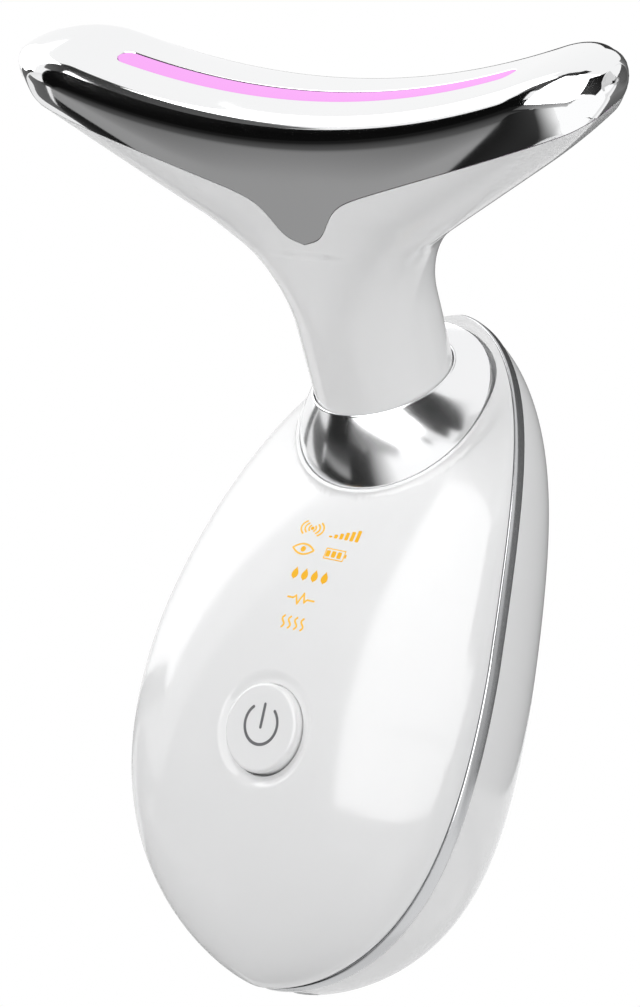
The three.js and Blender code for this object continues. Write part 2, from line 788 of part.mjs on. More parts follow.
function motorWeight() {
  const half = new THREE.Shape();
  half.absarc(0, 0, weightRadius, Math.PI, 2 * Math.PI);
  const settings = { depth: weightLength, bevelEnabled: false, curveSegments: 12 };
  const heavy = new THREE.ExtrudeGeometry(half, settings);
  heavy.applyMatrix4(new THREE.Matrix4().makeBasis(vector(0, 1, 0), vector(0, 0, 1), vector(1, 0, 0)));
  const hub = axle(hubRadius, 0, weightLength, 0, 16);
  const shaft = axle(shaftRadius, -seat - shaftSunk, weightLength / 2, 0, 10);
  return solidOf(heavy).add(solidOf(hub)).add(solidOf(shaft));
}

function addHead(parent) {
  const head = new THREE.Group();
  head.applyMatrix4(headFrame);
  parent.add(head);
  piece("neck_housing", neckHousing(), whiteGloss, head);
  piece("electrode_plate", electrodePlate(), chrome, head);
  piece("led_lens", ledLens(), pinkLight, head);

  const lampTop = plateThickness + crownRise + lensFlangeThickness + 2 * fit;
  const boardDepth = lampTop + ledHeight + fit;
  for (let i = 0; i < ledCount; i++) {
    const x = (i - (ledCount - 1) / 2) * ledPitch;
    const half = ledSize / 2;
    const lamp = box(-half, half, -half, half, -ledHeight / 2, ledHeight / 2);
    const mesh = piece(`head_led_${i + 1}`, lamp, pinkLight, head);
    mesh.position.set(x, 0, crown(x) - lampTop - ledHeight / 2);
    mesh.rotation.y = -Math.atan(x / crownRadius);
  }
  const strip = ledBoardHalfWidth;
  const ledBoard = crownStrip(stripHalfLength, -strip, strip, boardDepth, boardDepth + ledBoardThickness);
  piece("led_board", ledBoard, boardGreen, head);
  const heaterTop = plateThickness + crownRise + seat;
  const film = crownStrip(stripHalfLength, -heaterFar, -heaterNear, heaterTop, heaterTop + heaterThickness);
  piece("heater_film", film, darkPlastic, head);

  const canEnd = motorX + motorLength / 2;
  const can = solidOf(axle(motorRadius, motorX - motorLength / 2, canEnd, -motorDepth, 28));
  const bore = axle(shaftRadius + fit, canEnd - shaftSunk - seat, canEnd + 1, -motorDepth, 10);
  piece("vibration_motor", can.subtract(solidOf(bore)), steel, head);
  const half = sleeveLength / 2;
  const sleeve = solidOf(axle(motorRadius + sleeveWall, motorX - half, motorX + half, -motorDepth, 28));
  const hole = axle(motorRadius + fit, motorX - half - 1, motorX + half + 1, -motorDepth, 28);
  piece("motor_sleeve", sleeve.subtract(solidOf(hole)), rubber, head);
  const weight = piece("motor_weight", motorWeight(), steel, head);
  weight.position.set(canEnd + seat, 0, -motorDepth);
  weight.rotation.x = -headAngle;
}

// Leads that run from the head through the neck's bore to the back of the main board.
function addLeads(parent) {
  const inHead = ([x, y, z]) => vector(x, y, z).applyMatrix4(headFrame).toArray();
  const onBoard = ([x, y, z]) => vector(x, y + boardThickness, z).applyMatrix4(boardFrame).toArray();
  const mirrored = ([x, y, z]) => [-x, y, z];
  const headLead = [
    ...[...headLeadInHead, ...leadOutOfNeck].map(inHead),
    ...leadOntoBoard.map(onBoard),
  ];
  piece("head_lead", lead(headLead), leadRed, parent);
  const motorEnd = motorX - motorLength / 2 - seat;
  const fromMotor = [[motorEnd, 0, -motorDepth], [motorEnd - 2, 0, -motorDepth - 0.5]];
  const motorLead = [
    ...[...fromMotor, ...motorLeadInHead, ...leadOutOfNeck.map(mirrored)].map(inHead),
    ...leadOntoBoard.map(mirrored).map(onBoard),
  ];
  piece("motor_lead", lead(motorLead), leadRed, parent);
  const cell = padThickness + 2 * fit + batteryThickness / 2;
  const cellEnd = batteryZ + batteryLength / 2;
  const batteryLead = [
    [batteryLeadX, cell, cellEnd + seat],
    [batteryLeadX, cell, cellEnd + 3],
    [batteryLeadX - 0.5, cell - 2, cellEnd + 5],
    [batteryLeadX - 0.5, seat, cellEnd + 5],
  ].map(onBoard);
  piece("battery_lead", lead(batteryLead), leadRed, parent);
}

// Button: face with a rounded edge, a rim under the shell and a stem down to the switch.
function powerButton() {
  const top = boardBehindFace - dishDepth + buttonProud;
  const under = boardBehindFace - shellWall - seat;
  const foot = switchHeight + plungerHeight + fit;
  const rim = under - buttonRimThickness;
  const profile = [
    [0, foot],
    [buttonStemRadius, foot],
    [buttonStemRadius, rim],
    [buttonRadius + buttonRim, rim],
    [buttonRadius + buttonRim, under],
    [buttonRadius, under],
    ...steps(3, 0, Math.PI / 2).map((turn) => [
      buttonRadius - buttonEdge * (1 - Math.cos(turn)),
      top - buttonEdge * (1 - Math.sin(turn)),
    ]),
    [0, top],
  ];
  const geometry = new THREE.LatheGeometry(
    profile.map(([x, y]) => new THREE.Vector2(x, y)),
    36,
  );
  return geometry.rotateX(Math.PI);
}

// Charging socket: an open metal mouth round a thin tongue.
function chargingSocket() {
  const middle = boardThickness + fit + socketHeight / 2;
  const tube = (inset) => {
    const [x, y] = [socketWidth / 2 - inset, socketHeight / 2 - inset];
    const shape = new THREE.Shape();
    shape.absarc(x - y, middle, y, -Math.PI / 2, Math.PI / 2);
    shape.absarc(y - x, middle, y, Math.PI / 2, (3 * Math.PI) / 2);
    return new THREE.ExtrudeGeometry(shape, {
      depth: socketLength,
      bevelEnabled: false,
      curveSegments: 6,
    });
  };
  const shell = solidOf(tube(0)).subtract(solidOf(tube(socketWall).translate(0, 0, -socketWall * 4)));
  const [x, y] = [socketTongueWidth / 2, socketTongue / 2];
  const tongue = box(-x, x, middle - y, middle + y, socketWall * 4, socketLength - socketWall);
  return geometryOf(shell.add(solidOf(tongue))).translate(0, 0, -socketMouth);
}

// Contact: a bent strip from the board's front out to the band.
function bandContact() {
  const z = contactZ;
  const reach = vector(0, 0, z).applyMatrix4(boardFrame);
  const outer = eggHalfWidthAt(reach.z) - bandDepth - seat;
  const band = vector(outer, bow(reach.z) + bandWidth / 2, reach.z);
  const y = band.applyMatrix4(boardFrame.clone().invert()).y;
  const foot = boardHalfWidth - contactFoot;
  const t = contactThickness;
  const outline = [
    [foot, -fit],
    [foot, -fit - t],
    [boardHalfWidth - t, -fit - t],
    [outer - 2 * t, y + 1],
    [outer - t, y - 1],
    [outer, y - 1],
    [outer, y + 1 + t],
    [outer - t, y + 1 + 2 * t],
    [boardHalfWidth, -fit],
  ];
  const shape = new THREE.Shape(outline.map(([a, b]) => new THREE.Vector2(a, b)));
  const geometry = new THREE.ExtrudeGeometry(shape, { depth: contactWidth, bevelEnabled: false });
  return geometry.translate(0, 0, z - contactWidth / 2);
}

function mainBoard() {
  const [x, y] = [boardHalfWidth, boardThickness];
  let board = placed(plate(-x, x, boardBottom, boardTop, boardCorner, 0, y), boardFrame);
  board = board.intersect(bodyInside(shellWall + 2 * seat));
  for (const [sx, sz] of boardScrews) {
    board = board.subtract(placed(post(screwRadius + fit, -1, y + 1, sx, sz, 8), boardFrame));
  }
  return board;
}

// Guide: a block with a cell for each sign, its front cut to the inside of the shell.
function displayGuide() {
  const [low, high] = [displayLow - guideMargin, displayLow + 4 * displayPitch + guideMargin / 2];
  const x = guideHalfWidth;
  const block = placed(plate(-x, x, low, high, 1, -boardBehindFace, -fit), boardFrame);
  let guide = block.intersect(frontHalf(shellWall + fit, 3 * bandWidth));
  displayRows.forEach((row, down) => {
    const z = displayLow + (displayRows.length - 1 - down) * displayPitch;
    for (const [middle, width] of row) {
      const [left, right] = [middle - width / 2, middle + width / 2];
      const cell = box(left, right, -beyond, beyond, z - cellHeight / 2, z + cellHeight / 2);
      guide = guide.subtract(placed(cell, boardFrame));
    }
  });
  return guide;
}

function addDisplay(parent, board) {
  piece("display_guide", displayGuide(), darkPlastic, parent);
  let number = 0;
  displayRows.forEach((row, down) => {
    const z = displayLow + (displayRows.length - 1 - down) * displayPitch;
    for (const [x] of row) {
      number += 1;
      const [w, h] = [lampWidth / 2, lampHeight / 2];
      const lamp = box(x - w, x + w, -fit - lampThickness, -fit, z - h, z + h);
      piece(`display_led_${number}`, lamp, amberLight, board);
    }
  });
}

function addBoard(parent) {
  const board = new THREE.Group();
  board.applyMatrix4(boardFrame);
  parent.add(board);
  piece("main_board", mainBoard(), boardGreen, parent);
  addDisplay(parent, board);
  boardScrews.forEach(([x, z], i) => {
    const mesh = piece(`board_screw_${i + 1}`, screw(screwLength), steel, board);
    mesh.position.set(x, boardThickness + fit, z);
    mesh.rotation.x = Math.PI / 2;
  });
  const half = switchSize / 2;
  const well = post(plungerRadius + fit, -switchHeight - 1, plungerSunk + buttonTravel + fit - switchHeight);
  const body = solidOf(box(-half, half, -switchHeight, -fit, -half, half)).subtract(solidOf(well));
  piece("tact_switch", body, darkPlastic, board);
  const plunger = post(plungerRadius, -switchHeight - plungerHeight, plungerSunk - switchHeight);
  piece("tact_plunger", plunger, rubber, board);
  piece("power_button", powerButton(), whiteGloss, board);
  const chip = box(-chipSize / 2, chipSize / 2, -fit - chipThickness, -fit, -chipSize / 2, chipSize / 2);
  piece("control_chip", chip.translate(chipX, 0, chipZ), darkPlastic, board);

  const back = boardThickness + fit;
  const [w, l] = [batteryWidth / 2, batteryLength / 2];
  const pad = box(-w + 1, w - 1, back, back + padThickness, batteryZ - l + 1, batteryZ + l - 1);
  piece("battery_pad", pad, rubber, board);
  const front = back + padThickness + fit;
  const cell = plate(-w, w, batteryZ - l, batteryZ + l, batteryEdge, front, front + batteryThickness);
  piece("battery", cell, silver, board);
  piece("charging_socket", chargingSocket(), steel, board);
  piece("contact_spring", bandContact(), steel, board);
}

function massager() {
  const object = new THREE.Group();
  const body = new THREE.Group();
  body.position.y = -gripDepth;
  object.add(body);
  piece("front_shell", frontShell(), whiteGloss, body);
  piece("rear_shell", rearShell(), whiteGloss, body);
  piece("seam_band", seamRing(0), silver, body);
  piece("neck_collar", neckCollar(), chrome, body);
  piece("neck_flange", neckFlange(), darkPlastic, body);
  [-1, 1].forEach((side, i) => {
    const mesh = piece(`neck_screw_${i + 1}`, screw(neckScrewLength), steel, body);
    mesh.position.set(side * neckScrewX, 0, -flangeBack - fit);
    mesh.applyMatrix4(openingFrame);
  });
  addHead(body);
  addBoard(body);
  addLeads(body);
  return object;
}

export default massager();
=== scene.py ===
"""Hand-held face and neck massager: an egg-shaped white body, a leaning neck with a chromed collar,
and a saddle-shaped head with a chromed plate and a light strip. Shapes are worked out in millimetres."""

import json
import math

import bpy
import numpy as np
from mathutils import Matrix, Vector
from mathutils.geometry import delaunay_2d_cdt


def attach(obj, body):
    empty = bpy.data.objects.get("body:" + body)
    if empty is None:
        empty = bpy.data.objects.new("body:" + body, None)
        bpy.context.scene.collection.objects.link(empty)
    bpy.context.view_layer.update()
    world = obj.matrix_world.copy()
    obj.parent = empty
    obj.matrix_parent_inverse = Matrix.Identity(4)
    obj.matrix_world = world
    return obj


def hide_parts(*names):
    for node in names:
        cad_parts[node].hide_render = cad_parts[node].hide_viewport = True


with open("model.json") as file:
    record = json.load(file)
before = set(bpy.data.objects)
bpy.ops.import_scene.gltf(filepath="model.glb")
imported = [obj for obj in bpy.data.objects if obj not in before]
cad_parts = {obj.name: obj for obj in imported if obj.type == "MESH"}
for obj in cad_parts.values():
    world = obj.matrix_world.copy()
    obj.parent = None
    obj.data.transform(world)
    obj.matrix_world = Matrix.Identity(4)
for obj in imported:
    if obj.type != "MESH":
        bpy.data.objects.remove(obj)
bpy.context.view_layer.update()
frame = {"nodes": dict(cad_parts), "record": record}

# --------------------
# Front shell: one half of the egg-shaped body, moulded in glossy white plastic with a 2 mm wall. It
# flares up to a flat rim round the collar's opening, and has a shallow dish round the button's hole.
# It's held by four screws from the board behind it, and its edge meets the silver band.
GRIP_DEPTH = 9.5
EGG_HALF_WIDTH = 25.2
EGG_HALF_LENGTH = 44.0
FRONT_HEIGHT = 6.1
FRONT_SHIFT = -6.2
FRONT_FULLNESS = (2.07, 2.07)
SHELL_WALL = 2.0
EDGE_ROUNDING = 0.2
OPENING_RADIUS = 13.3
OPENING_Z = 29.0
OPENING_Y = -0.856
OPENING_ANGLE = math.radians(73.51)
OPENING_LEAN = math.sin(OPENING_ANGLE)
OPENING_POINTS = 300
RIM_WIDTH = 0.6
RIM_FLARE = 5.0
RIM_INNER_EDGE = 0.1
RIM_OUTER_EDGE = 0.25
RIM_BLEND = 0.7
LEDGE_WIDTH = 2.6
LEDGE_TOP = 1.4
LEDGE_BOTTOM = 0.8
BUTTON_Z = -15.1
BUTTON_ANGLE = math.radians(8.835)
BUTTON_LEAN = math.cos(BUTTON_ANGLE)
BUTTON_HOLE = 5.65
HOLE_EDGE = 0.15
HOLE_POINTS = 180
DISH_DEPTH = 0.5
DISH_SLOPE = (6.0, 7.4)
OUTLINE_POINTS = 420


def signed_power(value, exponent):
    """sign(v)·|v|^e."""
    return np.sign(value) * np.abs(value) ** exponent


def bow(z):
    """How far the parting surface lies behind its middle: -0.045 z + 0.0044 z²."""
    return -0.045 * z + 0.0044 * z * z


def egg(angle, share=1.0, inset=0.0):
    """Outline at an angle: s = sin, x = (W - i)·sgn(cos)|cos|^(1 + 0.28 share⁴)·(1 - 0.23 s + 0.27 s²) and
    z = (L - i)·sgn(s)|s|^(1 + 0.06 share⁴), so it turns into a plain oval towards the dome's summit."""
    s, bend = np.sin(angle), share**4
    taper = 1 - 0.23 * s + 0.27 * s * s
    x = (EGG_HALF_WIDTH - inset) * signed_power(np.cos(angle), 1 + 0.28 * bend) * taper
    return x, (EGG_HALF_LENGTH - inset) * signed_power(s, 1 + 0.06 * bend)


def root(value):
    """√v, or 0 where v is below 0."""
    return np.sqrt(np.maximum(value, 0))


def rise(share, exponent):
    """Height of the dome at a share of the way out: √(1 - share^e)."""
    return root(1 - np.abs(share) ** exponent)


def soft_min(a, b, width):
    """The lesser of two values with its corner rounded: the polynomial blend min(a, b) - h²·width/4, where
    h = max(1 - |a - b|/width, 0)."""
    h = np.clip(1 - np.abs(a - b) / width, 0, 1)
    return np.minimum(a, b) - h * h * width / 4


def smooth_step(low, high, value):
    """t²(3 - 2t) with t = (value - low)/(high - low), kept between 0 and 1."""
    t = np.clip((value - low) / (high - low), 0, 1)
    return t * t * (3 - 2 * t)


def edge_drop(gap, size):
    """How far a rounded edge has dropped at a gap from its end: size - √(size² - (size - gap)²), and 0 from
    gap = size on."""
    into = np.clip(size - gap, 0, size)
    return size - root(size * size - into * into)


def rim_drop(radius):
    """How far the opening's rim lies behind its flat top: a rounded inner edge of 0.1, a flat, a rounded
    outer edge of 0.25, and a hollow flank that is a quarter circle of radius 5."""
    past = radius - OPENING_RADIUS - RIM_WIDTH
    edges = edge_drop(radius - OPENING_RADIUS, RIM_INNER_EDGE) + edge_drop(-past, RIM_OUTER_EDGE)
    flank = RIM_FLARE * root(1 - np.clip(1 - past / RIM_FLARE, 0, 1) ** 2)
    return edges + flank + np.clip(past - RIM_FLARE, 0, None)


def ring_radius(x, z, middle, lean):
    """Distance from an axis, for points on a face square to it: √(x² + ((z - middle)/lean)²), where lean is
    the cosine of the face's tilt from upright."""
    return np.hypot(x, (z - middle) / lean)


def dome(u, v, y0, height, shift, fullness, wall=0.0):
    """A dome over the unit disc: share = sin(|(u, v)|·90°), (X, Z) is the outline in its direction, rise =
    √(1 - share^e), where e goes from the first fullness to the second by (Z/44)^1.3 above Z = 0, and in =
    share·(1 - wall·share⁶/|(X, Z)|). Returns x = X·in, y = y0 + bow(Z·share) + height·rise, z = Z·in +
    shift·rise, and share."""
    share = np.sin(np.clip(np.hypot(u, v), 1e-9, 1) * np.pi / 2)
    x0, z0 = egg(np.arctan2(v, u), share)
    low, high = fullness
    up = rise(share, low + (high - low) * np.clip(z0 / EGG_HALF_LENGTH, 0, 1) ** 1.3)
    inward = share * (1 - wall * share**6 / np.hypot(x0, z0))
    return x0 * inward, y0 + bow(z0 * share) + height * up, z0 * inward + shift * up, share


def front_skin(u, v):
    """The face: a dome 6.1 high. The rim lies over it, and the dish and the hole's edge are sunk in it."""
    x, y, z, share = dome(u, v, -EDGE_ROUNDING, EDGE_ROUNDING - FRONT_HEIGHT, FRONT_SHIFT, FRONT_FULLNESS)
    plane = OPENING_Y + (z - OPENING_Z) / math.tan(OPENING_ANGLE)
    rim = plane + rim_drop(ring_radius(x, z, OPENING_Z, OPENING_LEAN))
    y = y + (soft_min(y, rim, RIM_BLEND) - y) * rise(share, 24)
    out = ring_radius(x, z, BUTTON_Z, BUTTON_LEAN)
    y = y + DISH_DEPTH * (1 - smooth_step(*DISH_SLOPE, out)) + edge_drop(out - BUTTON_HOLE, HOLE_EDGE)
    return np.stack([x, y, z], -1)


def front_inside(u, v):
    """The shell's inner face: the same dome, 2 mm lower, and drawn in by the wall towards its edge."""
    height = SHELL_WALL - FRONT_HEIGHT
    return np.stack(dome(u, v, 0, height, FRONT_SHIFT, FRONT_FULLNESS, SHELL_WALL)[:3], -1)


def place_on(skin, x, z, up=(0, 1), start=None):
    """The (u, v) at which a skin has a given x and a given height up·(y, z), by Newton's method with slopes
    taken over 1e-5."""
    u, v = (x / EGG_HALF_WIDTH * 0.7, z / EGG_HALF_LENGTH * 0.7) if start is None else start
    step = 1e-5
    for _ in range(30):
        p, pu, pv = skin(u, v), skin(u + step, v), skin(u, v + step)
        a, b = (pu - p)[..., 0] / step, (pv - p)[..., 0] / step
        c, d = (pu - p)[..., 1:] @ up / step, (pv - p)[..., 1:] @ up / step
        ex, ez = x - p[..., 0], z - p[..., 1:] @ up
        det = a * d - b * c
        du, dv = (d * ex - b * ez) / det, (a * ez - c * ex) / det
        limit = np.minimum(1, 0.2 / np.maximum(np.hypot(du, dv), 1e-12))
        u, v = u + du * limit, v + dv * limit
        shrink = np.minimum(1, 0.9999 / np.maximum(np.hypot(u, v), 1e-12))
        u, v = u * shrink, v * shrink
    return u, v


def turns(count):
    """Angles evenly spaced round a circle."""
    return np.arange(count) * 2 * np.pi / count


def unit(vectors):
    """The vectors at length 1."""
    return vectors / np.maximum(np.linalg.norm(vectors, axis=-1, keepdims=True), 1e-12)


def oval(radius, middle, lean, count):
    """Points (x, z) of a circle seen on a face that leans: (r cos t, middle + r·lean·sin t)."""
    return radius * np.cos(turns(count)), middle + radius * lean * np.sin(turns(count))


def skin_normals(skin, u, v, side=1):
    """Normals from the slopes of a skin: side·(∂P/∂u × ∂P/∂v), taken over 2e-4. Side is 1 for a skin that
    faces -y and -1 for one that faces +y."""
    step = 2e-4
    du, dv = skin(u + step, v) - skin(u - step, v), skin(u, v + step) - skin(u, v - step)
    return unit(side * np.cross(du, dv))


def disc_mesh(rows, rings, clear):
    """Triangles over the unit disc: an even polar grid, kept where clear(u, v) is true, and rings of points,
    each a (u, v) pair, whose edges are kept. Returns points, triangles and where each ring starts."""
    part, angle = np.linspace(0, 1, rows + 1)[1:, None], turns(OUTLINE_POINTS)
    grid_u, grid_v = (part * np.cos(angle)).ravel(), (part * np.sin(angle)).ravel()
    keep = clear(grid_u, grid_v)
    keep[-OUTLINE_POINTS:] = True
    parts = [(grid_u[keep], grid_v[keep]), (np.zeros(1), np.zeros(1)), *rings]
    points = np.concatenate([np.stack(part, -1) for part in parts])
    sizes = np.cumsum([0] + [len(u) for u, _ in parts])
    edges = []
    for k in range(len(rings)):
        at = np.arange(sizes[k + 2], sizes[k + 3])
        edges += np.stack([at, np.roll(at, -1)], -1).tolist()
    made = delaunay_2d_cdt([Vector(p) for p in points.tolist()], edges, [], 0, 1e-9)
    origin = np.array([o[0] if o else -1 for o in made[3]])
    faces = origin[np.array(made[2])]
    return points, faces[(faces >= 0).all(1)], sizes[2:]


def turned(faces):
    """The same faces with their outer side swapped."""
    return faces[:, ::-1]


def sheet_of(rows, closed=True):
    """Points and four-sided faces of a grid of rows, each a line of points; closed rows join end to end."""
    number = np.arange(rows.shape[0] * rows.shape[1]).reshape(rows.shape[:2])
    if closed:
        number = np.concatenate([number, number[:, :1]], 1)
    faces = np.stack([number[:-1, :-1], number[:-1, 1:], number[1:, 1:], number[1:, :-1]], -1)
    return rows.reshape(-1, 3), faces.reshape(-1, 4)


def patch_of(rows, flip=False, closed=True):
    """Points and faces through rows of points, turned over if asked, with normals left to be worked out."""
    points, faces = sheet_of(np.stack(rows), closed)
    return points, turned(faces) if flip else faces, None


def point_normals(points, faces):
    """Normals at the points of a patch: the sum of its faces' area vectors at each point, at length 1. The
    area vector is (C - A) × (last corner - B), which suits triangles and four-sided faces."""
    normals, corners = np.zeros_like(points), points[faces]
    across = np.cross(corners[:, 2] - corners[:, 0], corners[:, -1] - corners[:, 1])
    for column in faces.T:
        np.add.at(normals, column, across)
    return unit(normals)


def add_object(name, data):
    """A new object in the scene."""
    made = bpy.data.objects.new(name, data)
    bpy.context.scene.collection.objects.link(made)
    return made


def make_piece(name, patches, material, offset=(0, -GRIP_DEPTH, 0), turn=np.eye(3)):
    """One object from patches of (points, faces, normals or None) in millimetres. Points that coincide are
    merged, and each face's corners keep the normals of their own patch, so patches meet in a clean edge."""
    points = np.concatenate([p for p, _, _ in patches]) @ turn.T + np.array(offset)
    normals = [point_normals(p, f) if n is None else n for p, f, n in patches]
    normals = np.concatenate(normals) @ turn.T
    starts = np.cumsum([0] + [len(p) for p, _, _ in patches])
    _, first, same = np.unique(np.round(points, 4), axis=0, return_index=True, return_inverse=True)
    same = same.ravel()
    loops, faces = [], []
    for (_, patch, _), start in zip(patches, starts):
        for quad in (patch + start).tolist():
            ends = same[quad]
            kept = [i for i in range(len(quad)) if ends[i] != ends[i - 1]]
            if len(kept) > 2:
                faces.append([int(ends[i]) for i in kept])
                loops += [quad[i] for i in kept]
    mesh = bpy.data.meshes.new(name)
    mesh.from_pydata((points[first] / 1000).tolist(), [], faces)
    mesh.polygons.foreach_set("use_smooth", np.ones(len(faces), bool))
    mesh.normals_split_custom_set(normals[loops].tolist())
    mesh.update()
    mesh.materials.append(material)
    return add_object(name, mesh)


def feed(tree, node, inputs):
    """Sets inputs of a node, by name or number: a value as it is, and another node's output by a link."""
    for label, value in inputs.items():
        if isinstance(value, bpy.types.NodeSocket):
            tree.links.new(value, node.inputs[label])
        else:
            node.inputs[label].default_value = value


def add_node(tree, kind, inputs, **settings):
    """A new shader node with its settings and its inputs."""
    node = tree.nodes.new("ShaderNode" + kind)
    for label, value in settings.items():
        setattr(node, label, value)
    feed(tree, node, inputs)
    return node


def uneven_group():
    """Node group: a slow and a fine noise over Object coordinates. Out come a value near 0.5 that drifts
    over the surface, and a value with a fine grain."""
    group = bpy.data.node_groups.new("uneven", "ShaderNodeTree")
    for way, labels in (("INPUT", ("Slow scale", "Fine scale")), ("OUTPUT", ("Slow", "Fine"))):
        for label in labels:
            group.interface.new_socket(label, in_out=way, socket_type="NodeSocketFloat")
    given, out = group.nodes.new("NodeGroupInput"), group.nodes.new("NodeGroupOutput")
    place = add_node(group, "TexCoord", {}).outputs["Object"]
    for label, detail in (("Slow", 2), ("Fine", 4)):
        scale = given.outputs[label + " scale"]
        noise = add_node(group, "TexNoise", {"Vector": place, "Scale": scale, "Detail": detail})
        group.links.new(noise.outputs["Fac"], out.inputs[label])
    return group


UNEVEN = uneven_group()


def finish(name, dark, light, rough, bump=0.0, slow=60, fine=900, **settings):
    """A Principled material. Its colour drifts between two tones with the slow noise, its roughness between
    two values with the fine one, and the fine noise also lifts the surface by the bump, in metres."""
    material = bpy.data.materials.new(name)
    material.use_nodes = True
    tree = material.node_tree
    noise = add_node(tree, "Group", {"Slow scale": slow, "Fine scale": fine}, node_tree=UNEVEN).outputs
    tones = {"Factor": noise["Slow"], "A": (*dark, 1), "B": (*light, 1)}
    limits = {"From Min": 0.3, "From Max": 0.7, "To Min": rough[0], "To Max": rough[1]}
    inputs = {
        "Base Color": add_node(tree, "Mix", tones, data_type="RGBA").outputs["Result"],
        "Roughness": add_node(tree, "MapRange", {"Value": noise["Fine"], **limits}).outputs["Result"],
    }
    if bump:
        lift = add_node(tree, "Bump", {"Strength": 1, "Distance": bump, "Height": noise["Fine"]})
        inputs["Normal"] = lift.outputs["Normal"]
    inputs.update((label.replace("_", " "), value) for label, value in settings.items())
    feed(tree, tree.nodes["Principled BSDF"], inputs)
    return material


def skin_patch(skin, rows, rings, outside, gaps, facing, smooth):
    """The patch of a skin without what lies in its holes, and the points of each ring. Outside gives how far
    points lie outside each hole, and the grid keeps these gaps from them. Facing is the sign of y that the
    patch faces, and smooth takes its normals from the skin's slopes."""
    points, faces, starts = disc_mesh(rows, rings, lambda u, v: (outside(skin(u, v)) > gaps).all(0))
    p = skin(*points.T)
    inside = (outside(p) < 0.001).any(0)
    faces = faces[~inside[faces].all(1)]
    normals = skin_normals(skin, *points.T, -facing) if smooth else None
    return (p, turned(faces) if facing > 0 else faces, normals), np.split(p, starts[:-1])[1:]


def shell_edge(skin, inside, y0, side):
    """Two patches, from a shell's skin round its rounded edge, and on to its inner face. Round the edge x, z
    are drawn in by 0.2(1 - cos t), and y = y0 + bow + side·0.2(1 - sin t)."""
    angle = turns(OUTLINE_POINTS)
    disc = np.cos(angle), np.sin(angle)
    rings = [skin(*disc)]
    for turn in np.linspace(0, np.pi / 2, 5)[1:]:
        x, z = egg(angle, 1.0, EDGE_ROUNDING * (1 - math.cos(turn)))
        y = y0 + bow(egg(angle)[1]) + side * EDGE_ROUNDING * (1 - math.sin(turn))
        rings.append(np.stack([x, y, z], -1))
    return patch_of(rings, side < 0), patch_of([rings[-1], inside(*disc)], side < 0)


def front_shell():
    """Outer skin and inner face over the disc, walls through the two holes, and the rounded edge."""
    past_opening = (0, 0.03, 0.07, 0.1, 0.2, 0.35, 0.42, 0.5, 0.55, 0.58, 0.6, 0.62, 0.66, 0.72, 0.85, 1.05)
    past_hole = (0, 0.03, 0.07, 0.15, 0.3, 0.45, 0.65, 0.85, 1.05, 1.25, 1.45, 1.65, 1.85)

    def round_opening(radius):
        """Circle of a radius round the opening's axis."""
        return oval(radius, OPENING_Z, OPENING_LEAN, OPENING_POINTS)

    def round_hole(more):
        """Circle round the button's hole, at a distance from it."""
        return oval(BUTTON_HOLE + more, BUTTON_Z, BUTTON_LEAN, HOLE_POINTS)

    def surface(skin, rows, outlines, edge, gaps, facing, smooth):
        """A skin's patch, and the edges of its opening and of the button's hole."""
        rings = [place_on(skin, x, z) for x, z in outlines]
        rings = [ring for ring in rings if np.hypot(*ring).max() < 0.999]

        def outside(p):
            """How far points lie outside the opening's edge, and outside the button's hole."""
            x, _, z = p.T
            return np.stack([ring_radius(x, z, OPENING_Z, OPENING_LEAN) - edge,
                             ring_radius(x, z, BUTTON_Z, BUTTON_LEAN) - BUTTON_HOLE])

        patch, edges = skin_patch(skin, rows, rings, outside, gaps, facing, smooth)
        return patch, edges[0], edges[[len(u) for u, _ in rings].index(HOLE_POINTS)]

    rings = [round_opening(OPENING_RADIUS + r) for r in past_opening] + [round_hole(r) for r in past_hole]
    outer, rim_top, hole_top = surface(front_skin, 110, rings, OPENING_RADIUS, [[1.3], [2.05]], -1, True)
    ledge = OPENING_RADIUS - LEDGE_WIDTH
    rings = [round_opening(ledge), round_hole(0)]
    inner, rim_low, hole_low = surface(front_inside, 40, rings, ledge, [[0.5], [0.4]], 1, False)
    wall = [rim_top, rim_top + (0, LEDGE_TOP, 0), rim_low - (0, LEDGE_BOTTOM, 0), rim_low]
    walls = [patch_of(pair) for pair in (*zip(wall[:-1], wall[1:]), (hole_top, hole_low))]
    return [outer, inner, *walls, *shell_edge(front_skin, front_inside, 0.0, -1)]


WHITE_GLOSS = finish(
    "white_gloss", (0.79, 0.79, 0.79), (0.82, 0.82, 0.82), (0.09, 0.13), bump=1e-7, slow=25, fine=420,
    Specular_IOR_Level=0.5,
)
shell = make_piece("shell_front", front_shell(), WHITE_GLOSS)
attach(shell, "housing")
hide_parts("front_shell")

# --------------------
# Rear shell: the deep half of the body, of the same glossy plastic. Its back has a flattened spot to lie
# on, and its tail a slot for the charging socket. It closes on the band from behind.
BAND_WIDTH = 2.4
REAR_HEIGHT = 22.5
REAR_SHIFT = -1.3
REAR_FULLNESS = (3, 1.65)
REST_DEPTH = 0.45
REST_BLEND = 0.5
SLOT_HALF_WIDTH = 4.72
SLOT_HALF_HEIGHT = 1.85
SLOT_Y = 10.64
SLOT_Z = -12.63


def rear_skin(u, v):
    """The back: a dome 22.5 high behind the band, cut off softly 0.45 below its summit."""
    start = BAND_WIDTH + EDGE_ROUNDING
    x, y, z, _ = dome(u, v, start, REAR_HEIGHT - EDGE_ROUNDING, REAR_SHIFT, REAR_FULLNESS)
    return np.stack([x, soft_min(y, BAND_WIDTH + REAR_HEIGHT - REST_DEPTH, REST_BLEND), z], -1)


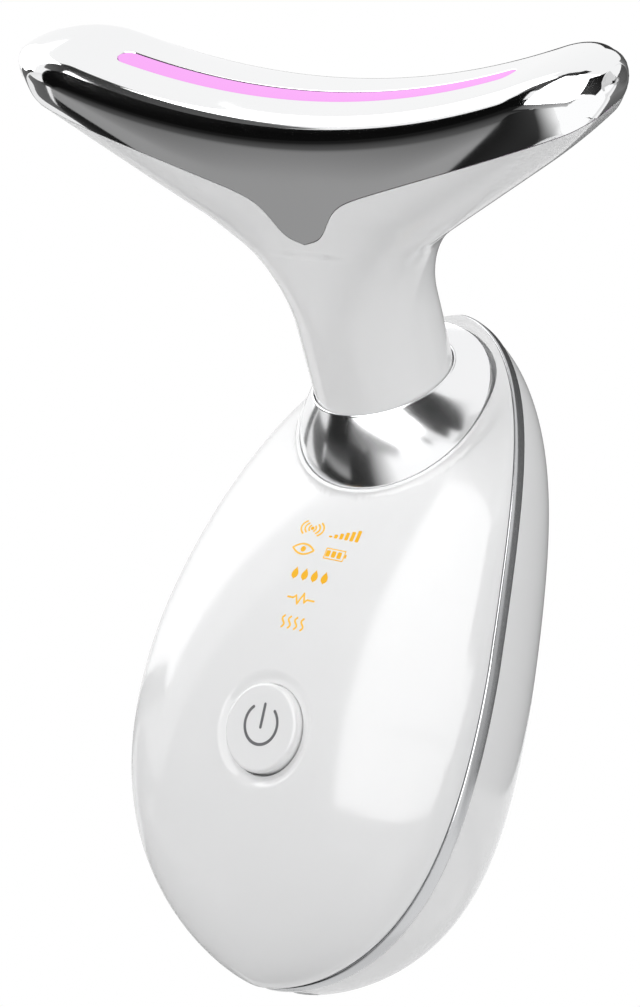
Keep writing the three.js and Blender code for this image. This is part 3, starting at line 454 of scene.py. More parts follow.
def rear_inside(u, v):
    """The inner face of the back: the same dome 2 mm lower, and drawn in by the wall."""
    height = REAR_HEIGHT - SHELL_WALL
    x, y, z, _ = dome(u, v, BAND_WIDTH, height, REAR_SHIFT, REAR_FULLNESS, SHELL_WALL)
    return np.stack([x, soft_min(y, BAND_WIDTH + height - REST_DEPTH, REST_BLEND), z], -1)


def stadium(half, radius, straight, bend):
    """Points (x, y) round a bar with half-circle ends, and back along its other side: x = ±half + r cos t,
    y = r sin t at the ends. It starts at the far right and goes round over +y."""
    t = np.linspace(0, np.pi / 2, bend, endpoint=False)
    last = t + t[1]
    x = [half + radius * np.cos(t), np.linspace(half, -half, straight), -half - radius * np.sin(last)]
    y = [radius * np.sin(t), np.full(straight, radius), radius * np.cos(last)]
    x, y = np.concatenate(x), np.concatenate(y)
    return np.concatenate([x, -x[1:-1]]), np.concatenate([y, -y[1:-1]])


def rear_shell():
    """Outer skin and inner face over the disc, a wall through the socket's slot, which runs along the board
    behind the button, and the rounded edge."""
    up = np.array([math.cos(BUTTON_ANGLE), math.sin(BUTTON_ANGLE)])
    middle = up @ (SLOT_Y, SLOT_Z)
    straight = SLOT_HALF_WIDTH - SLOT_HALF_HEIGHT

    def outside(p):
        """How far points lie outside the slot, and 9 for all that are not in the tail."""
        off = np.hypot(np.maximum(np.abs(p[:, 0]) - straight, 0), p[:, 1:] @ up - middle) - SLOT_HALF_HEIGHT
        return np.where(p[:, 2] < 0, off, 9)[None]

    def surface(skin, rows, offsets, facing, smooth):
        """A skin's patch, and the slot's edge."""
        rings = []
        for more in offsets:
            x, height = stadium(straight, SLOT_HALF_HEIGHT + more, 24, 12)
            start = (x / EGG_HALF_WIDTH * 0.6, np.full(x.size, -0.94))
            rings.append(place_on(skin, x, middle + height, up, start))
        patch, edges = skin_patch(skin, rows, rings, outside, offsets[-1] + 0.12, facing, smooth)
        return patch, edges[0]

    outer, slot_top = surface(rear_skin, 120, (0, 0.05, 0.12, 0.25), 1, True)
    inner, slot_low = surface(rear_inside, 40, (0,), -1, False)
    edges = shell_edge(rear_skin, rear_inside, BAND_WIDTH, 1)
    return [outer, inner, patch_of([slot_top, slot_low]), *edges]


back = make_piece("shell_rear", rear_shell(), WHITE_GLOSS)
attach(back, "housing")
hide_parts("rear_shell")

# --------------------
# Seam band: a silver ring between the two shells, rolled to a slightly rounded outer face that stands
# 0.3 mm proud. It's clamped by the shells.
BAND_GAP = 0.1
BAND_PROUD = 0.3
BAND_DEPTH = 2.2


def seam_band():
    """A section carried round the outline: half its width is 1.1, its outer face is an arch 0.3·√(1 - t⁴)
    high, and its inner face is flat and 2.2 deep."""
    t = np.sin(np.linspace(-np.pi / 2, np.pi / 2, 21))
    side = (BAND_WIDTH / 2 - BAND_GAP) * np.array([t[0], *t, t[-1], t[0]])
    rows = []
    for depth, across in zip([BAND_DEPTH, *-BAND_PROUD * root(1 - t**4), BAND_DEPTH, BAND_DEPTH], side):
        x, z = egg(turns(OUTLINE_POINTS), 1.0, depth)
        middle = bow(egg(turns(OUTLINE_POINTS))[1]) + BAND_WIDTH / 2
        rows.append(np.stack([x, middle + across, z], -1))
    return [patch_of(rows[start:end], True) for start, end in ((0, 2), (1, 22), (21, 23), (22, 24))]


SILVER = finish(
    "silver", (0.50, 0.505, 0.515), (0.56, 0.565, 0.575), (0.16, 0.24), slow=140, fine=1500, Metallic=1.0
)
band = make_piece("band", seam_band(), SILVER)
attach(band, "housing")
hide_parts("seam_band")

# --------------------
# Collar: a hollow leaning cone of chromed plastic round the foot of the neck. It's plugged into the
# opening of the front shell and held down by the neck.
HEAD_ANGLE = math.radians(50)
HEAD_PLACE = np.array([0, -42.83917 + GRIP_DEPTH, 55.47317])
NECK_RADIUS = 8.9
NECK_VISIBLE = 37.5
MOUTH_ANGLE = HEAD_ANGLE + math.radians(5)
HEAD_TURN = np.array(Matrix.Rotation(HEAD_ANGLE, 3, "X"))
HEAD_OFFSET = HEAD_PLACE - np.array([0, GRIP_DEPTH, 0])
COLLAR_GAP = 0.15
COLLAR_WALL = 1.4
COLLAR_SKIRT = 3.0
MOUTH_GAP = 0.12
LIP_RADIUS = 0.15


def neck_collar():
    """Rings whose middle, lean and radius go from foot to mouth: radius = foot + (mouth - foot)·t^1.2. The
    lip at the mouth is a small half-round, and the inner side returns 1.4 mm further in."""
    foot, mouth = OPENING_RADIUS - COLLAR_GAP, NECK_RADIUS + MOUTH_GAP
    top = HEAD_TURN @ np.array([0, 0, -NECK_VISIBLE]) + HEAD_PLACE

    def ring(t, radius, sunk=0.0):
        """Ring at t of the way up, sunk along its own axis."""
        angle = OPENING_ANGLE + (MOUTH_ANGLE - OPENING_ANGLE) * t
        y = OPENING_Y + (top[1] - OPENING_Y) * t + sunk * math.sin(angle)
        z = OPENING_Z + (top[2] - OPENING_Z) * t - sunk * math.cos(angle)
        x, out = radius * np.cos(turns(240)), radius * np.sin(turns(240))
        return np.stack([x, y + out * math.cos(angle), z + out * math.sin(angle)], -1)

    def width(low, t):
        """Radius at t of the way up from a radius at the foot."""
        return low + (mouth + 2 * LIP_RADIUS - low) * t**1.2

    outside = [ring(t, width(foot, t)) for t in np.linspace(0, 1, 70)]
    lip = [ring(1, mouth + LIP_RADIUS * (1 + math.cos(a)), -LIP_RADIUS * math.sin(a))
           for a in np.linspace(0, np.pi, 13)]
    inside = [ring(t, width(foot - COLLAR_WALL, t), COLLAR_WALL * t + 0.3) for t in np.linspace(0.97, 0, 14)]
    low_in, low_out = ring(0, foot - COLLAR_WALL, COLLAR_SKIRT), ring(0, foot, COLLAR_SKIRT)
    loops = [[*outside, *lip[1:]], [lip[-1], *inside]]
    loops += [[inside[-1], low_in], [low_in, low_out], [low_out, outside[0]]]
    return [patch_of(rows) for rows in loops]


SOFT_CHROME = finish(
    "soft_chrome", (0.86, 0.865, 0.875), (0.92, 0.92, 0.925), (0.15, 0.18), slow=30, fine=300, Metallic=1.0
)
collar = make_piece("collar", neck_collar(), SOFT_CHROME)
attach(collar, "housing")
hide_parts("neck_collar")

# --------------------
# Neck and wings: one hollow white moulding. Its round neck widens in a curve into two wings, whose
# straight undersides rise to the tips. The chromed plate closes it from above.
CROWN_RADIUS = 107.0
CROWN_RISE = 0.4
HEAD_HALF_WIDTH = 44.9
BAR_HALF_DEPTH = 8.0
KEEL_DEPTH = 25.9
KEEL_SLOPE = 0.59
NECK_FLARE = 13.0
NECK_TOP = -14.0
NECK_HIDDEN = 3.5
NECK_WALL = 1.8
TIP_LENGTH = 11.5
TIP_LENGTH_BEHIND = 14.0
TIP_DROP = 0.5
TIP_FORWARD = 1.8
LEAST_HALF = 0.02
EDGE_TOP = 2.8
EDGE_KEEL = 2.0
EDGE_TIP = 5.0
CORNER_BLEND = 0.5
PARTING_GAP = 0.05
NORMAL_REACH = 0.6


def crown(x):
    """Height of the concave crown: x²/(2·107)."""
    return x * x / (2 * CROWN_RADIUS)


def tip_shrink(x, length):
    """What is left of a section's size towards a tip: √(1 - t²), t = how far x is into the tip's length."""
    return root(1 - (np.clip(np.abs(x) - (HEAD_HALF_WIDTH - length), 0, None) / length) ** 2)


def bar_middle(x):
    """Middle and half height of the bar's section, half its depth, its shift to the front, and its size as a
    share of what it would be without a rounded tip."""
    shrink = tip_shrink(x, TIP_LENGTH)
    top, bottom = crown(x), KEEL_SLOPE * np.abs(x) - KEEL_DEPTH
    middle = (top + bottom) / 2 - TIP_DROP * (1 - shrink)
    half = np.maximum((top - bottom) / 2 * shrink, LEAST_HALF)
    side = np.maximum(BAR_HALF_DEPTH * shrink, LEAST_HALF)
    return middle, half, side, -TIP_FORWARD * (1 - shrink), shrink


def bar_outside(x, y, z):
    """How far a point lies outside the bar: the distance to a rectangle with corners rounded by 2.8 at the
    top and 2 at the keel, more towards the tips, after the crown's 0.4 mm of camber is taken off."""
    middle, half, side, forward, shrink = bar_middle(x)
    across = y - forward
    behind = across * shrink / np.maximum(tip_shrink(x, TIP_LENGTH_BEHIND), 1e-6)
    across = np.where(across > 0, behind, across)
    up = z + CROWN_RISE * (across / side) ** 2 * np.clip((z - middle) / half, 0, 1.2) - middle
    edge = np.where(up > 0, EDGE_TOP, EDGE_KEEL) * shrink + EDGE_TIP * (1 - shrink)
    edge = np.minimum(edge, 0.96 * np.minimum(half, side))
    a, b = np.abs(across) - (side - edge), np.abs(up) - (half - edge)
    return np.hypot(np.maximum(a, 0), np.maximum(b, 0)) + np.minimum(np.maximum(a, b), 0) - edge


def wings_outside(x, y, z):
    """How far a point lies outside the neck and wings: (g^(1/b) - 1)·deep, with g = (|x|/wide)^a +
    (|y|/deep)^b at its height. wide follows an arc of radius 13 from the neck to the straight underside."""
    lean = math.atan(KEEL_SLOPE)
    touch = NECK_RADIUS + NECK_FLARE * (1 - math.sin(lean))
    stop = KEEL_SLOPE * touch - KEEL_DEPTH
    start = stop - NECK_FLARE * math.cos(lean)
    arc = NECK_RADIUS + NECK_FLARE - root(NECK_FLARE**2 - np.clip(z - start, 0, NECK_FLARE) ** 2)
    wide = np.where(z < stop, arc, (z + KEEL_DEPTH) / KEEL_SLOPE)
    share = smooth_step(start, NECK_TOP, z)
    deep = NECK_RADIUS + (BAR_HALF_DEPTH - NECK_RADIUS) * share
    a = 2 + 1.2 * share + 0.45 * np.clip(z - NECK_TOP, 0, None)
    b = 2 + 0.5 * share
    g = (np.abs(x) / wide) ** a + (np.abs(y) / deep) ** b
    return (g ** (1 / b) - 1) * deep


def head_outside(x, y, z):
    """The head's skin is where this is 0: the greater of bar and wings, its corner rounded by 0.5. The bar
    counts only above the neck."""
    bar_too = bar_outside(x, y, z)
    bar_too = np.where(z < NECK_TOP - 3, bar_too - 3 * (NECK_TOP - 3 - z), bar_too)
    return -soft_min(-wings_outside(x, y, z), -bar_too, CORNER_BLEND)


def parting(x, y):
    """Height of the line between plate and wings: 0.296|x| - 11.9 with a tongue 3.8/(1 + |x/4.5|⁵) in front,
    and 0.165|x| - 6 behind, turning from one to the other between y = -2 and 2."""
    front = 0.296 * np.abs(x) - 11.9 - 3.8 / (1 + np.abs(x / 4.5) ** 5)
    return front + (0.1646 * np.abs(x) - 6.0 - front) * smooth_step(-2, 2, y)


def crossing(inside, outside, test, times=42):
    """Where test changes sign between two sets of values, by halving."""
    for _ in range(times):
        middle = (inside + outside) / 2
        out = test(middle) > 0
        inside, outside = np.where(out, inside, middle), np.where(out, middle, outside)
    return (inside + outside) / 2


def skin_of_head(points):
    """Outward normals of the head: the slopes of head_outside, taken over 0.6 mm to each side."""
    slopes = [head_outside(*(points + step).T) - head_outside(*(points - step).T)
              for step in NORMAL_REACH * np.eye(3)]
    return unit(np.stack(slopes, -1))


def level_point(t, z, depth):
    """The skin, or a face below it by a depth, in the direction t at a height z: (s·wide·cos t,
    s·deep·sin t, z), with s where head_outside = -depth."""
    reach = np.maximum((z + KEEL_DEPTH) / KEEL_SLOPE, NECK_RADIUS) + 4
    x1, y1 = reach * np.cos(t), (NECK_RADIUS + 3) * np.sin(t)
    s = crossing(0 * z, 1 + 0 * z, lambda s: head_outside(s * x1, s * y1, z + 0 * s) + depth)
    return s * x1, s * y1, z + 0 * s


def wings_and_neck():
    """For each direction, heights run from the neck's end up to the parting line, where z + 0.05 = parting.
    The inner face is 1.8 mm below the skin, and a flat rim joins them."""
    t, low = turns(520), -NECK_VISIBLE - NECK_HIDDEN

    def rows(depth, share):
        """Rings of the skin, or of a face below it by a depth, at shares of the way up."""
        def above(z):
            """How far a height lies above the edge of the wings."""
            x, y, _ = level_point(t, z, depth)
            return z + PARTING_GAP - parting(x, y)

        top = crossing(np.full(t.size, -24.0), np.full(t.size, 3.0), above)
        z = low + (top - low) * share[:, None]
        return np.stack(level_point(t + 0 * z, z, depth), -1)

    share = np.concatenate([np.linspace(0, 0.3, 16), np.linspace(0.3, 1, 140)[1:]])
    outer, inner = rows(0.0, share), rows(NECK_WALL, share[::9])
    points, faces = sheet_of(outer)
    return [(points, faces, skin_of_head(points)), patch_of([outer[-1], inner[-1]]),
            patch_of(inner, True), patch_of([inner[0], outer[0]])]


neck = make_piece("neck_and_wings", wings_and_neck(), WHITE_GLOSS, HEAD_OFFSET, HEAD_TURN)
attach(neck, "housing")
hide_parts("neck_housing")

# --------------------
# Electrode plate: a bright-chromed shell, 1 mm thick, over the head. Its front edge dips in a tongue over
# the neck, its long slot lets the light through, and it's glued over the wings.
TIP_END = 44.895
SLOT_HALF = 28.75
SLOT_RADIUS = 1.4
SLOT_EDGE = 0.12
PLATE_DEPTH = 0.95
PLATE_EDGE = 0.08
PLATE_REACH = 18.0
FOCUS_DEPTH = 4.7


def section_point(x, lean, depth):
    """Where a ray from the middle of the section at x meets the skin, or a face below it by depth. The ray
    leans from straight up to the front by an angle. Away from the tips it starts 4.7 below the crown."""
    middle, _, _, forward, shrink = bar_middle(x)
    middle = middle * (1 - shrink) + (crown(x) - FOCUS_DEPTH) * shrink

    def on_ray(reach):
        """The point at a distance along the ray."""
        return x, forward - reach * np.sin(lean), middle + reach * np.cos(lean)

    return np.stack(on_ray(crossing(0 * x, 0 * x + 24, lambda r: head_outside(*on_ray(r)) + depth)), -1)


def electrode_plate():
    """Rows run from the slot outwards to the plate's lower edge, each once round the plate. x, and the lean
    as a share of the edge's, go linearly over sin(s·90°) from the slot to the edge, where z - 0.05 =
    parting. At the tips, where the whole section is above the parting, front and back meet underneath."""
    tip, sweep, straight = 14, 44, 170

    def loop(half):
        """A row's values from its first half, which runs over the back from right to left."""
        return np.concatenate([half, half[-2:0:-1]])

    side = loop(np.ones(2 * (tip + sweep) + straight))
    side[len(side) // 2 + 1:] = -1

    def lowest(x, side, depth):
        """Lean at which the section's skin meets the edge line."""
        def below(lean):
            """How far the skin at a lean lies below the plate's edge."""
            _, y, z = section_point(x, side * lean, depth).T
            return parting(x, y) + PARTING_GAP - z
        return crossing(0 * x + 1.5, 0 * x + np.pi, below)

    def sheet(end, depth, offsets, shares, closed=None):
        """Rows of one face of the plate, and which columns lie where front and back meet. Offsets are rows
        round the slot, shares are rows further out, and both say how far each is sunk."""
        table = end * np.sin(np.linspace(-1, 1, 1001) * np.pi / 2)
        leans = [lowest(table, s, depth) for s in (-1, 1)]

        def widest(x, side):
            """Lean of the edge at x, on the back (1) or the front (-1)."""
            return np.where(side > 0, np.interp(x, table, leans[0]), np.interp(x, table, leans[1]))

        fall = SLOT_HALF + (end - SLOT_HALF) * np.cos(np.linspace(0, np.pi / 2, sweep, endpoint=False))
        quarter = np.concatenate([np.full(tip, end), fall])
        out_x = loop(np.concatenate([quarter, np.linspace(SLOT_HALF, -SLOT_HALF, straight), -quarter[::-1]]))
        quarter = np.concatenate([np.linspace(0, 1, tip, endpoint=False), np.ones(sweep)])
        out_q = loop(np.concatenate([quarter, np.ones(straight), quarter[::-1]]))
        rows = []
        for more, sunk in offsets:
            x, y = stadium(SLOT_HALF, SLOT_RADIUS + more, straight, tip + sweep)
            lean = np.arctan2(-y, FOCUS_DEPTH - CROWN_RISE * (y / BAR_HALF_DEPTH) ** 2)
            rows.append(section_point(x, lean, depth + sunk))
        near_q = np.abs(lean) / widest(x, side)
        if closed is None:
            closed = (widest(out_x, side) > np.pi - 1e-4) | (out_q < 1) | (np.abs(out_x) > end - 0.01)
        for share, sunk in shares:
            step = math.sin(share * math.pi / 2) if sunk == 0 else share
            at = x + (out_x - x) * step
            q = near_q + (out_q - near_q) * step
            most = widest(at, side)
            if step == 1:
                most = np.where(closed, np.pi, np.minimum(most, np.pi - 0.03))
            rows.append(section_point(at, -side * q * most, depth + sunk * ~closed))
        return np.stack(rows), closed

    slot = [(gap, edge_drop(gap, SLOT_EDGE)) for gap in (0, 0.012, 0.036, 0.07, 0.12, 0.2, 0.35)]
    shares = [(s, 0.0) for s in np.linspace(0, 0.975, 105)[1:]]
    drops = [(1 - gap / PLATE_REACH, edge_drop(gap, PLATE_EDGE)) for gap in (0.08, 0.045, 0.02, 0.005, 0)]
    outer, closed = sheet(TIP_END, 0.0, slot, shares + drops)
    inside_shares = [(s, 0.0) for s in np.linspace(0, 1, 22)[1:]]
    inner, _ = sheet(TIP_END - 1.0, PLATE_DEPTH, [(0, 0)], inside_shares, closed)
    skin_end = len(outer) - len(drops) + 1
    points, faces = sheet_of(outer[4:skin_end])
    wall_points, wall_faces = sheet_of(np.stack([outer[-1], inner[-1]]))
    patches = [
        (points, turned(faces), skin_of_head(points)),
        *(patch_of(rows, True) for rows in (outer[:5], outer[skin_end - 1:], [inner[0], outer[0]])),
        patch_of(inner),
        (wall_points, turned(wall_faces[~(closed & np.roll(closed, -1))]), None),
    ]
    fan = np.stack([np.arange(2 * tip), np.arange(1, 2 * tip + 1), np.full(2 * tip, 2 * tip + 1)], -1)
    for edge, faces in ((outer[-1], turned(fan)), (inner[-1], fan)):
        for middle in (0, len(edge) // 2):
            ring = np.roll(edge, tip - middle, axis=0)[:2 * tip + 1]
            patches.append((np.concatenate([ring, [ring.mean(0)]]), faces, None))
    return patches


CHROME = finish(
    "chrome", (0.87, 0.875, 0.88), (0.93, 0.93, 0.935), (0.055, 0.07), slow=30, fine=300, Metallic=1.0
)
plate = make_piece("plate", electrode_plate(), CHROME, HEAD_OFFSET, HEAD_TURN)
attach(plate, "housing")
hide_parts("electrode_plate")

# --------------------
# Light strip: a milky bar in the plate's slot that glows pink from the lamps under it. Its flange is
# caught between the plate and the wings.
STRIP_RADIUS = 1.25
STRIP_EDGE = 0.1
STRIP_CAMBER = 0.06
STRIP_SUNK = 0.02
FLANGE_RADIUS = 2.25
FLANGE_TOP = -1.55
FLANGE_BOTTOM = -2.25


def light_strip():
    """Rings round the strip's middle line, each a bar with half-circle ends at a height over the crown: a
    top cambered by 0.06(1 - (r/1.25)²) with its edge rounded by 0.1, a wall, and a wider flange."""
    flat, bend = STRIP_RADIUS - STRIP_EDGE, np.linspace(0, np.pi / 2, 6)[1:]
    r = np.concatenate([np.linspace(0, flat, 9), flat + STRIP_EDGE * np.sin(bend)])
    drop = STRIP_SUNK + edge_drop(STRIP_RADIUS - r, STRIP_EDGE)
    top = list(zip(r, STRIP_CAMBER * (1 - (r / STRIP_RADIUS) ** 2) - drop))
    corners = [top[-1], (STRIP_RADIUS, FLANGE_TOP), (FLANGE_RADIUS, FLANGE_TOP)]
    corners += [(FLANGE_RADIUS, FLANGE_BOTTOM), (0, FLANGE_BOTTOM)]
    patches = []
    for profile in (top, *zip(corners[:-1], corners[1:])):
        rows = []
        for radius, height in profile:
            x, y = stadium(SLOT_HALF, radius, 160, 14)
            rows.append(np.stack([x, y, crown(x) + height], -1))
        patches.append(patch_of(rows, True))
    return patches


MILKY_PINK = finish(
    "milky_pink", (0.02, 0.006, 0.02), (0.03, 0.009, 0.03), (0.45, 0.55), slow=90,
    Specular_IOR_Level=0.03, Emission_Color=(1.0, 0.45, 0.99, 1), Emission_Strength=0.92,
)
lens = make_piece("light_strip", light_strip(), MILKY_PINK, HEAD_OFFSET, HEAD_TURN)
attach(lens, "housing")
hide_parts("led_lens")

# --------------------
# Power button: a round white cap with a soft edge and a slightly hollow top, on a stem with a rim that
# keeps it behind the shell. Its sign is printed in grey.
BUTTON_RADIUS = 5.5
BUTTON_TOP = 0.6
BUTTON_EDGE = 0.5
HOLLOW_RADIUS = 4.9
HOLLOW_DEPTH = 0.1
RIM_RADIUS = 6.4
RIM_TOP = -2.3
RIM_BOTTOM = -3.1
STEM_RADIUS = 1.6
STEM_END = -6.45
PRINT_ABOVE = 0.02
PRINT_BELOW = 0.03
BUTTON_PLACE = np.array([0, -5.2206 - GRIP_DEPTH, BUTTON_Z])
BUTTON_TURN = np.array(Matrix.Rotation(BUTTON_ANGLE, 3, "X"))


def button_top(r):
    """Height of the button's face over the shell's: 0.6 - 0.1(1 - (r/4.9)²)."""
    return BUTTON_TOP - HOLLOW_DEPTH * (1 - (np.minimum(r, HOLLOW_RADIUS) / HOLLOW_RADIUS) ** 2)


def power_button():
    """Rings (r, height): the hollow top, an edge rounded by 0.5, the side, the rim and the stem."""
    r, bend = np.linspace(0, HOLLOW_RADIUS, 16), np.linspace(0, np.pi / 2, 11)
    round_r = BUTTON_RADIUS - BUTTON_EDGE * (1 - np.sin(bend))
    round_height = BUTTON_TOP - BUTTON_EDGE * (1 - np.cos(bend))
    top = [*zip(r, button_top(r)), *zip(round_r, round_height)]
    top += [(BUTTON_RADIUS, -1.0), (BUTTON_RADIUS, RIM_TOP)]
    corners = [top[-1], (RIM_RADIUS, RIM_TOP), (RIM_RADIUS, RIM_BOTTOM), (STEM_RADIUS, RIM_BOTTOM)]
    corners += [(STEM_RADIUS, STEM_END), (0, STEM_END)]
    cos, sin, ones = np.cos(turns(160)), np.sin(turns(160)), np.ones(160)
    return [patch_of([np.stack([a * cos, -h * ones, a * sin], -1) for a, h in profile], True)
            for profile in (top, *zip(corners[:-1], corners[1:]))]


button = make_piece("button", power_button(), WHITE_GLOSS, BUTTON_PLACE, BUTTON_TURN)
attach(button, "power_button")
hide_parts("power_button")


def stroke(x, z, half, blunt=1.0):
    """A line of a given half width along a path, with ends rounded as (blunt·half·sin a, half·cos a).
    Returns its two sides as columns of (x, z)."""
    path = np.stack(np.broadcast_arrays(x, z), -1).astype(float)
    half = np.broadcast_to(half, len(path)).astype(float)
    a = np.linspace(0, np.pi / 2, 7)[1:, None]
    first, last = unit(path[0] - path[1]), unit(path[-1] - path[-2])
    head = (path[0] + blunt * half[0] * np.sin(a) * first)[::-1]
    tail = path[-1] + blunt * half[-1] * np.sin(a) * last
    ways = np.diff(np.concatenate([path[:1], path, path[-1:]]), axis=0)
    ways = np.concatenate([np.tile(-first, (6, 1)), ways[:-1] + ways[1:], np.tile(last, (6, 1))])
    across = unit(np.stack([-ways[:, 1], ways[:, 0]], -1))
    across = across * np.concatenate([(half[0] * np.cos(a))[::-1], half[:, None], half[-1] * np.cos(a)])
    line = np.concatenate([head, path, tail])
    return line + across, line - across


def printed(strokes, place):
    """Thin solids, one for each stroke, on the surface that place(x, z, lift) gives: 0.02 above it to 0.03
    below. Their tops and their other sides are patches of their own."""
    patches = []
    for left, right in strokes:
        ends = ((left, PRINT_ABOVE), (right, PRINT_ABOVE), (right, -PRINT_BELOW), (left, -PRINT_BELOW))
        rows = np.stack([place(*line.T, lift) for line, lift in ends], 1)
        patches += [patch_of(rows[:, :2], closed=False), patch_of(rows[:, [1, 2, 3, 0]], closed=False)]
    return patches


def on_button(x, z, lift):
    """A point over the button's face, in the button's frame."""
    return np.stack([x, -button_top(np.hypot(x, z)) - lift, z], -1)


PRINT_GREY = finish("print_grey", (0.12, 0.12, 0.125), (0.15, 0.15, 0.155), (0.3, 0.4), slow=400)
RING_RADIUS = 2.5
RING_MIDDLE = 0.45
RING_HALF = 0.19
gap = math.radians(42)
arc = np.linspace(np.pi / 2 + gap, 2.5 * np.pi - gap, 72)
ring = stroke(RING_RADIUS * np.cos(arc), RING_MIDDLE + RING_RADIUS * np.sin(arc), RING_HALF)
bar = stroke(0, (0.05, 2.9), RING_HALF)
mark = make_piece("button_sign", printed([ring, bar], on_button), PRINT_GREY, BUTTON_PLACE, BUTTON_TURN)
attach(mark, "power_button")

# --------------------
# Signs: five rows of plain amber marks that shine through the face: waves and rising bars, an eye and a
# battery, drops, a pulse, and warm air. They're lit by the lamps on the board behind them.
WAVES_Z = 10.36
EYE_Z = 7.53
DROPS_Z = 3.68
DROP_HEIGHT = 1.5
PULSE_Z = 1.24
HEAT_Z = -2.6
FINE_HALF = 0.12


def on_face(x, z, lift):
    """A point over the face at x and z."""
    u, v = place_on(front_skin, x, z)
    return front_skin(u, v) + lift * skin_normals(front_skin, u, v)


def upright(x, low, high, half):
    """An upright bar with all but square ends."""
    inset = 0.25 * half
    return stroke(x, (low + inset, high - inset), half, 0.25)


def sign_rows():
    """The strokes of all five rows, and of those that are drawn in fine lines, as two lists."""
    solid = [upright(0.75 + 0.8 * k, 9.6, 9.85 + 0.26 * k, 0.26) for k in range(6)]
    fine = []
    a = np.linspace(-0.85, 0.85, 13)
    for k in range(3):
        for way in (-1, 1):
            x, z = -2.45 + way * (0.55 + 0.62 * k) * np.cos(a), WAVES_Z + (0.45 + 0.33 * k) * np.sin(a)
            fine.append(stroke(x, z, FINE_HALF))
    solid.append(stroke((-2.5, -2.4), WAVES_Z, 0.22))
    a = np.linspace(-1, 1, 21)
    for way in (-1, 1):
        fine.append(stroke(-2.53 + 1.68 * a, EYE_Z + way * 0.68 * (1 - a * a), FINE_HALF))
    solid.append(stroke((-2.56, -2.5), EYE_Z, 0.36))
    for low, high in ((1.1, 1.75), (1.97, 2.62), (2.84, 3.49)):
        solid.append(stroke((low + 0.09, high - 0.09), EYE_Z, 0.42, 0.2))
    case_x, case_z = (0.98, 3.9, 3.9, 0.98, 0.98), EYE_Z + 0.66 * np.array([-1, -1, 1, 1, -1])
    for k in range(4):
        fine.append(stroke(case_x[k:k + 2], case_z[k:k + 2], 0.07))
    solid.append(stroke(4.13, (EYE_Z - 0.2, EYE_Z + 0.2), 0.12, 0.3))
    a = np.linspace(0, 1, 15)
    over = a - 0.36
    width = np.where(over > 0, np.cos(over / 0.64 * np.pi / 2) ** 1.3, root(1 - (over / 0.37) ** 2))
    for x in (-2.3, -0.75, 0.8, 2.35):
        solid.append(stroke(x, DROPS_Z + DROP_HEIGHT * a, np.maximum(0.5 * width, 0.015)))
    beat_x = (-2.05, -1.2, -0.85, -0.35, 0.25, 0.65, 1.0, 2.05)
    beat_z = PULSE_Z + np.array([0, 0, 0.35, -0.7, 0.75, -0.4, 0, 0])
    for k in range(7):
        fine.append(stroke(beat_x[k:k + 2], beat_z[k:k + 2], FINE_HALF))
    a = np.linspace(0, 1, 21)
    for x in (-1.5, -0.5, 0.5, 1.5):
        fine.append(stroke(x + 0.24 * np.sin(a * 2 * np.pi), HEAT_Z + 1.45 * a, 0.13))
    return solid, fine


AMBER = finish(
    "amber", (0.06, 0.03, 0.002), (0.08, 0.04, 0.003), (0.3, 0.4), slow=300,
    Specular_IOR_Level=0.2, Emission_Color=(1.0, 0.52, 0.012, 1), Emission_Strength=0.84,
)
PALE_AMBER = finish(
    "pale_amber", (0.1, 0.06, 0.01), (0.12, 0.07, 0.015), (0.3, 0.4), slow=300,
    Specular_IOR_Level=0.2, Emission_Color=(1.0, 0.57, 0.06, 1), Emission_Strength=0.86,
)
for name, strokes, material in zip(("signs_solid", "signs_fine"), sign_rows(), (AMBER, PALE_AMBER)):
    signs = make_piece(name, printed(strokes, on_face), material)
    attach(signs, "housing")

# --------------------
# Inside: boards, lamps, switch, chip, battery, motor, socket, screws and leads stay as the solids of the
# frame. Each gets the finish of its material slot.
INNER = {
    "white_shell": WHITE_GLOSS, "pink_lamp": MILKY_PINK, "pink_lens": MILKY_PINK, "amber_lamp": AMBER,
    "chrome": CHROME, "silver_band": SILVER,
    "board": finish("green_board", (0.012, 0.09, 0.035), (0.02, 0.12, 0.05), (0.3, 0.45), 4e-6, 500),
    "steel": finish(
        "steel", (0.42, 0.425, 0.43), (0.52, 0.52, 0.53), (0.25, 0.4), 0, 200, 2500, Metallic=1.0
    ),
    "dark_plastic": finish(
        "dark_plastic", (0.02, 0.02, 0.022), (0.035, 0.035, 0.037), (0.45, 0.6), 8e-6, 150
    ),
    "rubber": finish("rubber", (0.018, 0.018, 0.019), (0.03, 0.03, 0.03), (0.75, 0.9), 1.5e-5, 200),
    "battery_wrap": finish(
        "battery_foil", (0.4, 0.41, 0.43), (0.5, 0.51, 0.53), (0.3, 0.42), 1e-5, 90, Metallic=0.7
    ),
    "lead": finish("lead", (0.3, 0.012, 0.01), (0.4, 0.02, 0.015), (0.5, 0.65), 5e-6, 300),
}
for part in frame["record"]["subparts"]:
    node = frame["nodes"][part["node"]]
    node.data.materials.clear()
    node.data.materials.append(INNER[part["material_slot"]])

# --------------------
# Camera: it looks up a little at the front, from the right, as the photograph does.
scene = bpy.context.scene
scene.view_settings.view_transform = "Standard"
back = Vector((0.627, -0.758, -0.180)).normalized()
right = Vector((0.767, 0.561, 0.311))
right = (right - back * right.dot(back)).normalized()
up = back.cross(right)
eye = Vector((0.2096, -0.2713, -0.0473))
camera_data = bpy.data.cameras.new("camera")
camera_data.sensor_fit = "VERTICAL"
camera_data.sensor_height = 24
camera_data.lens = 65.35
camera_data.clip_start = 0.01
camera = add_object("camera", camera_data)
camera.matrix_world = Matrix.Translation(eye) @ Matrix([right, up, back]).transposed().to_4x4()
scene.camera = camera

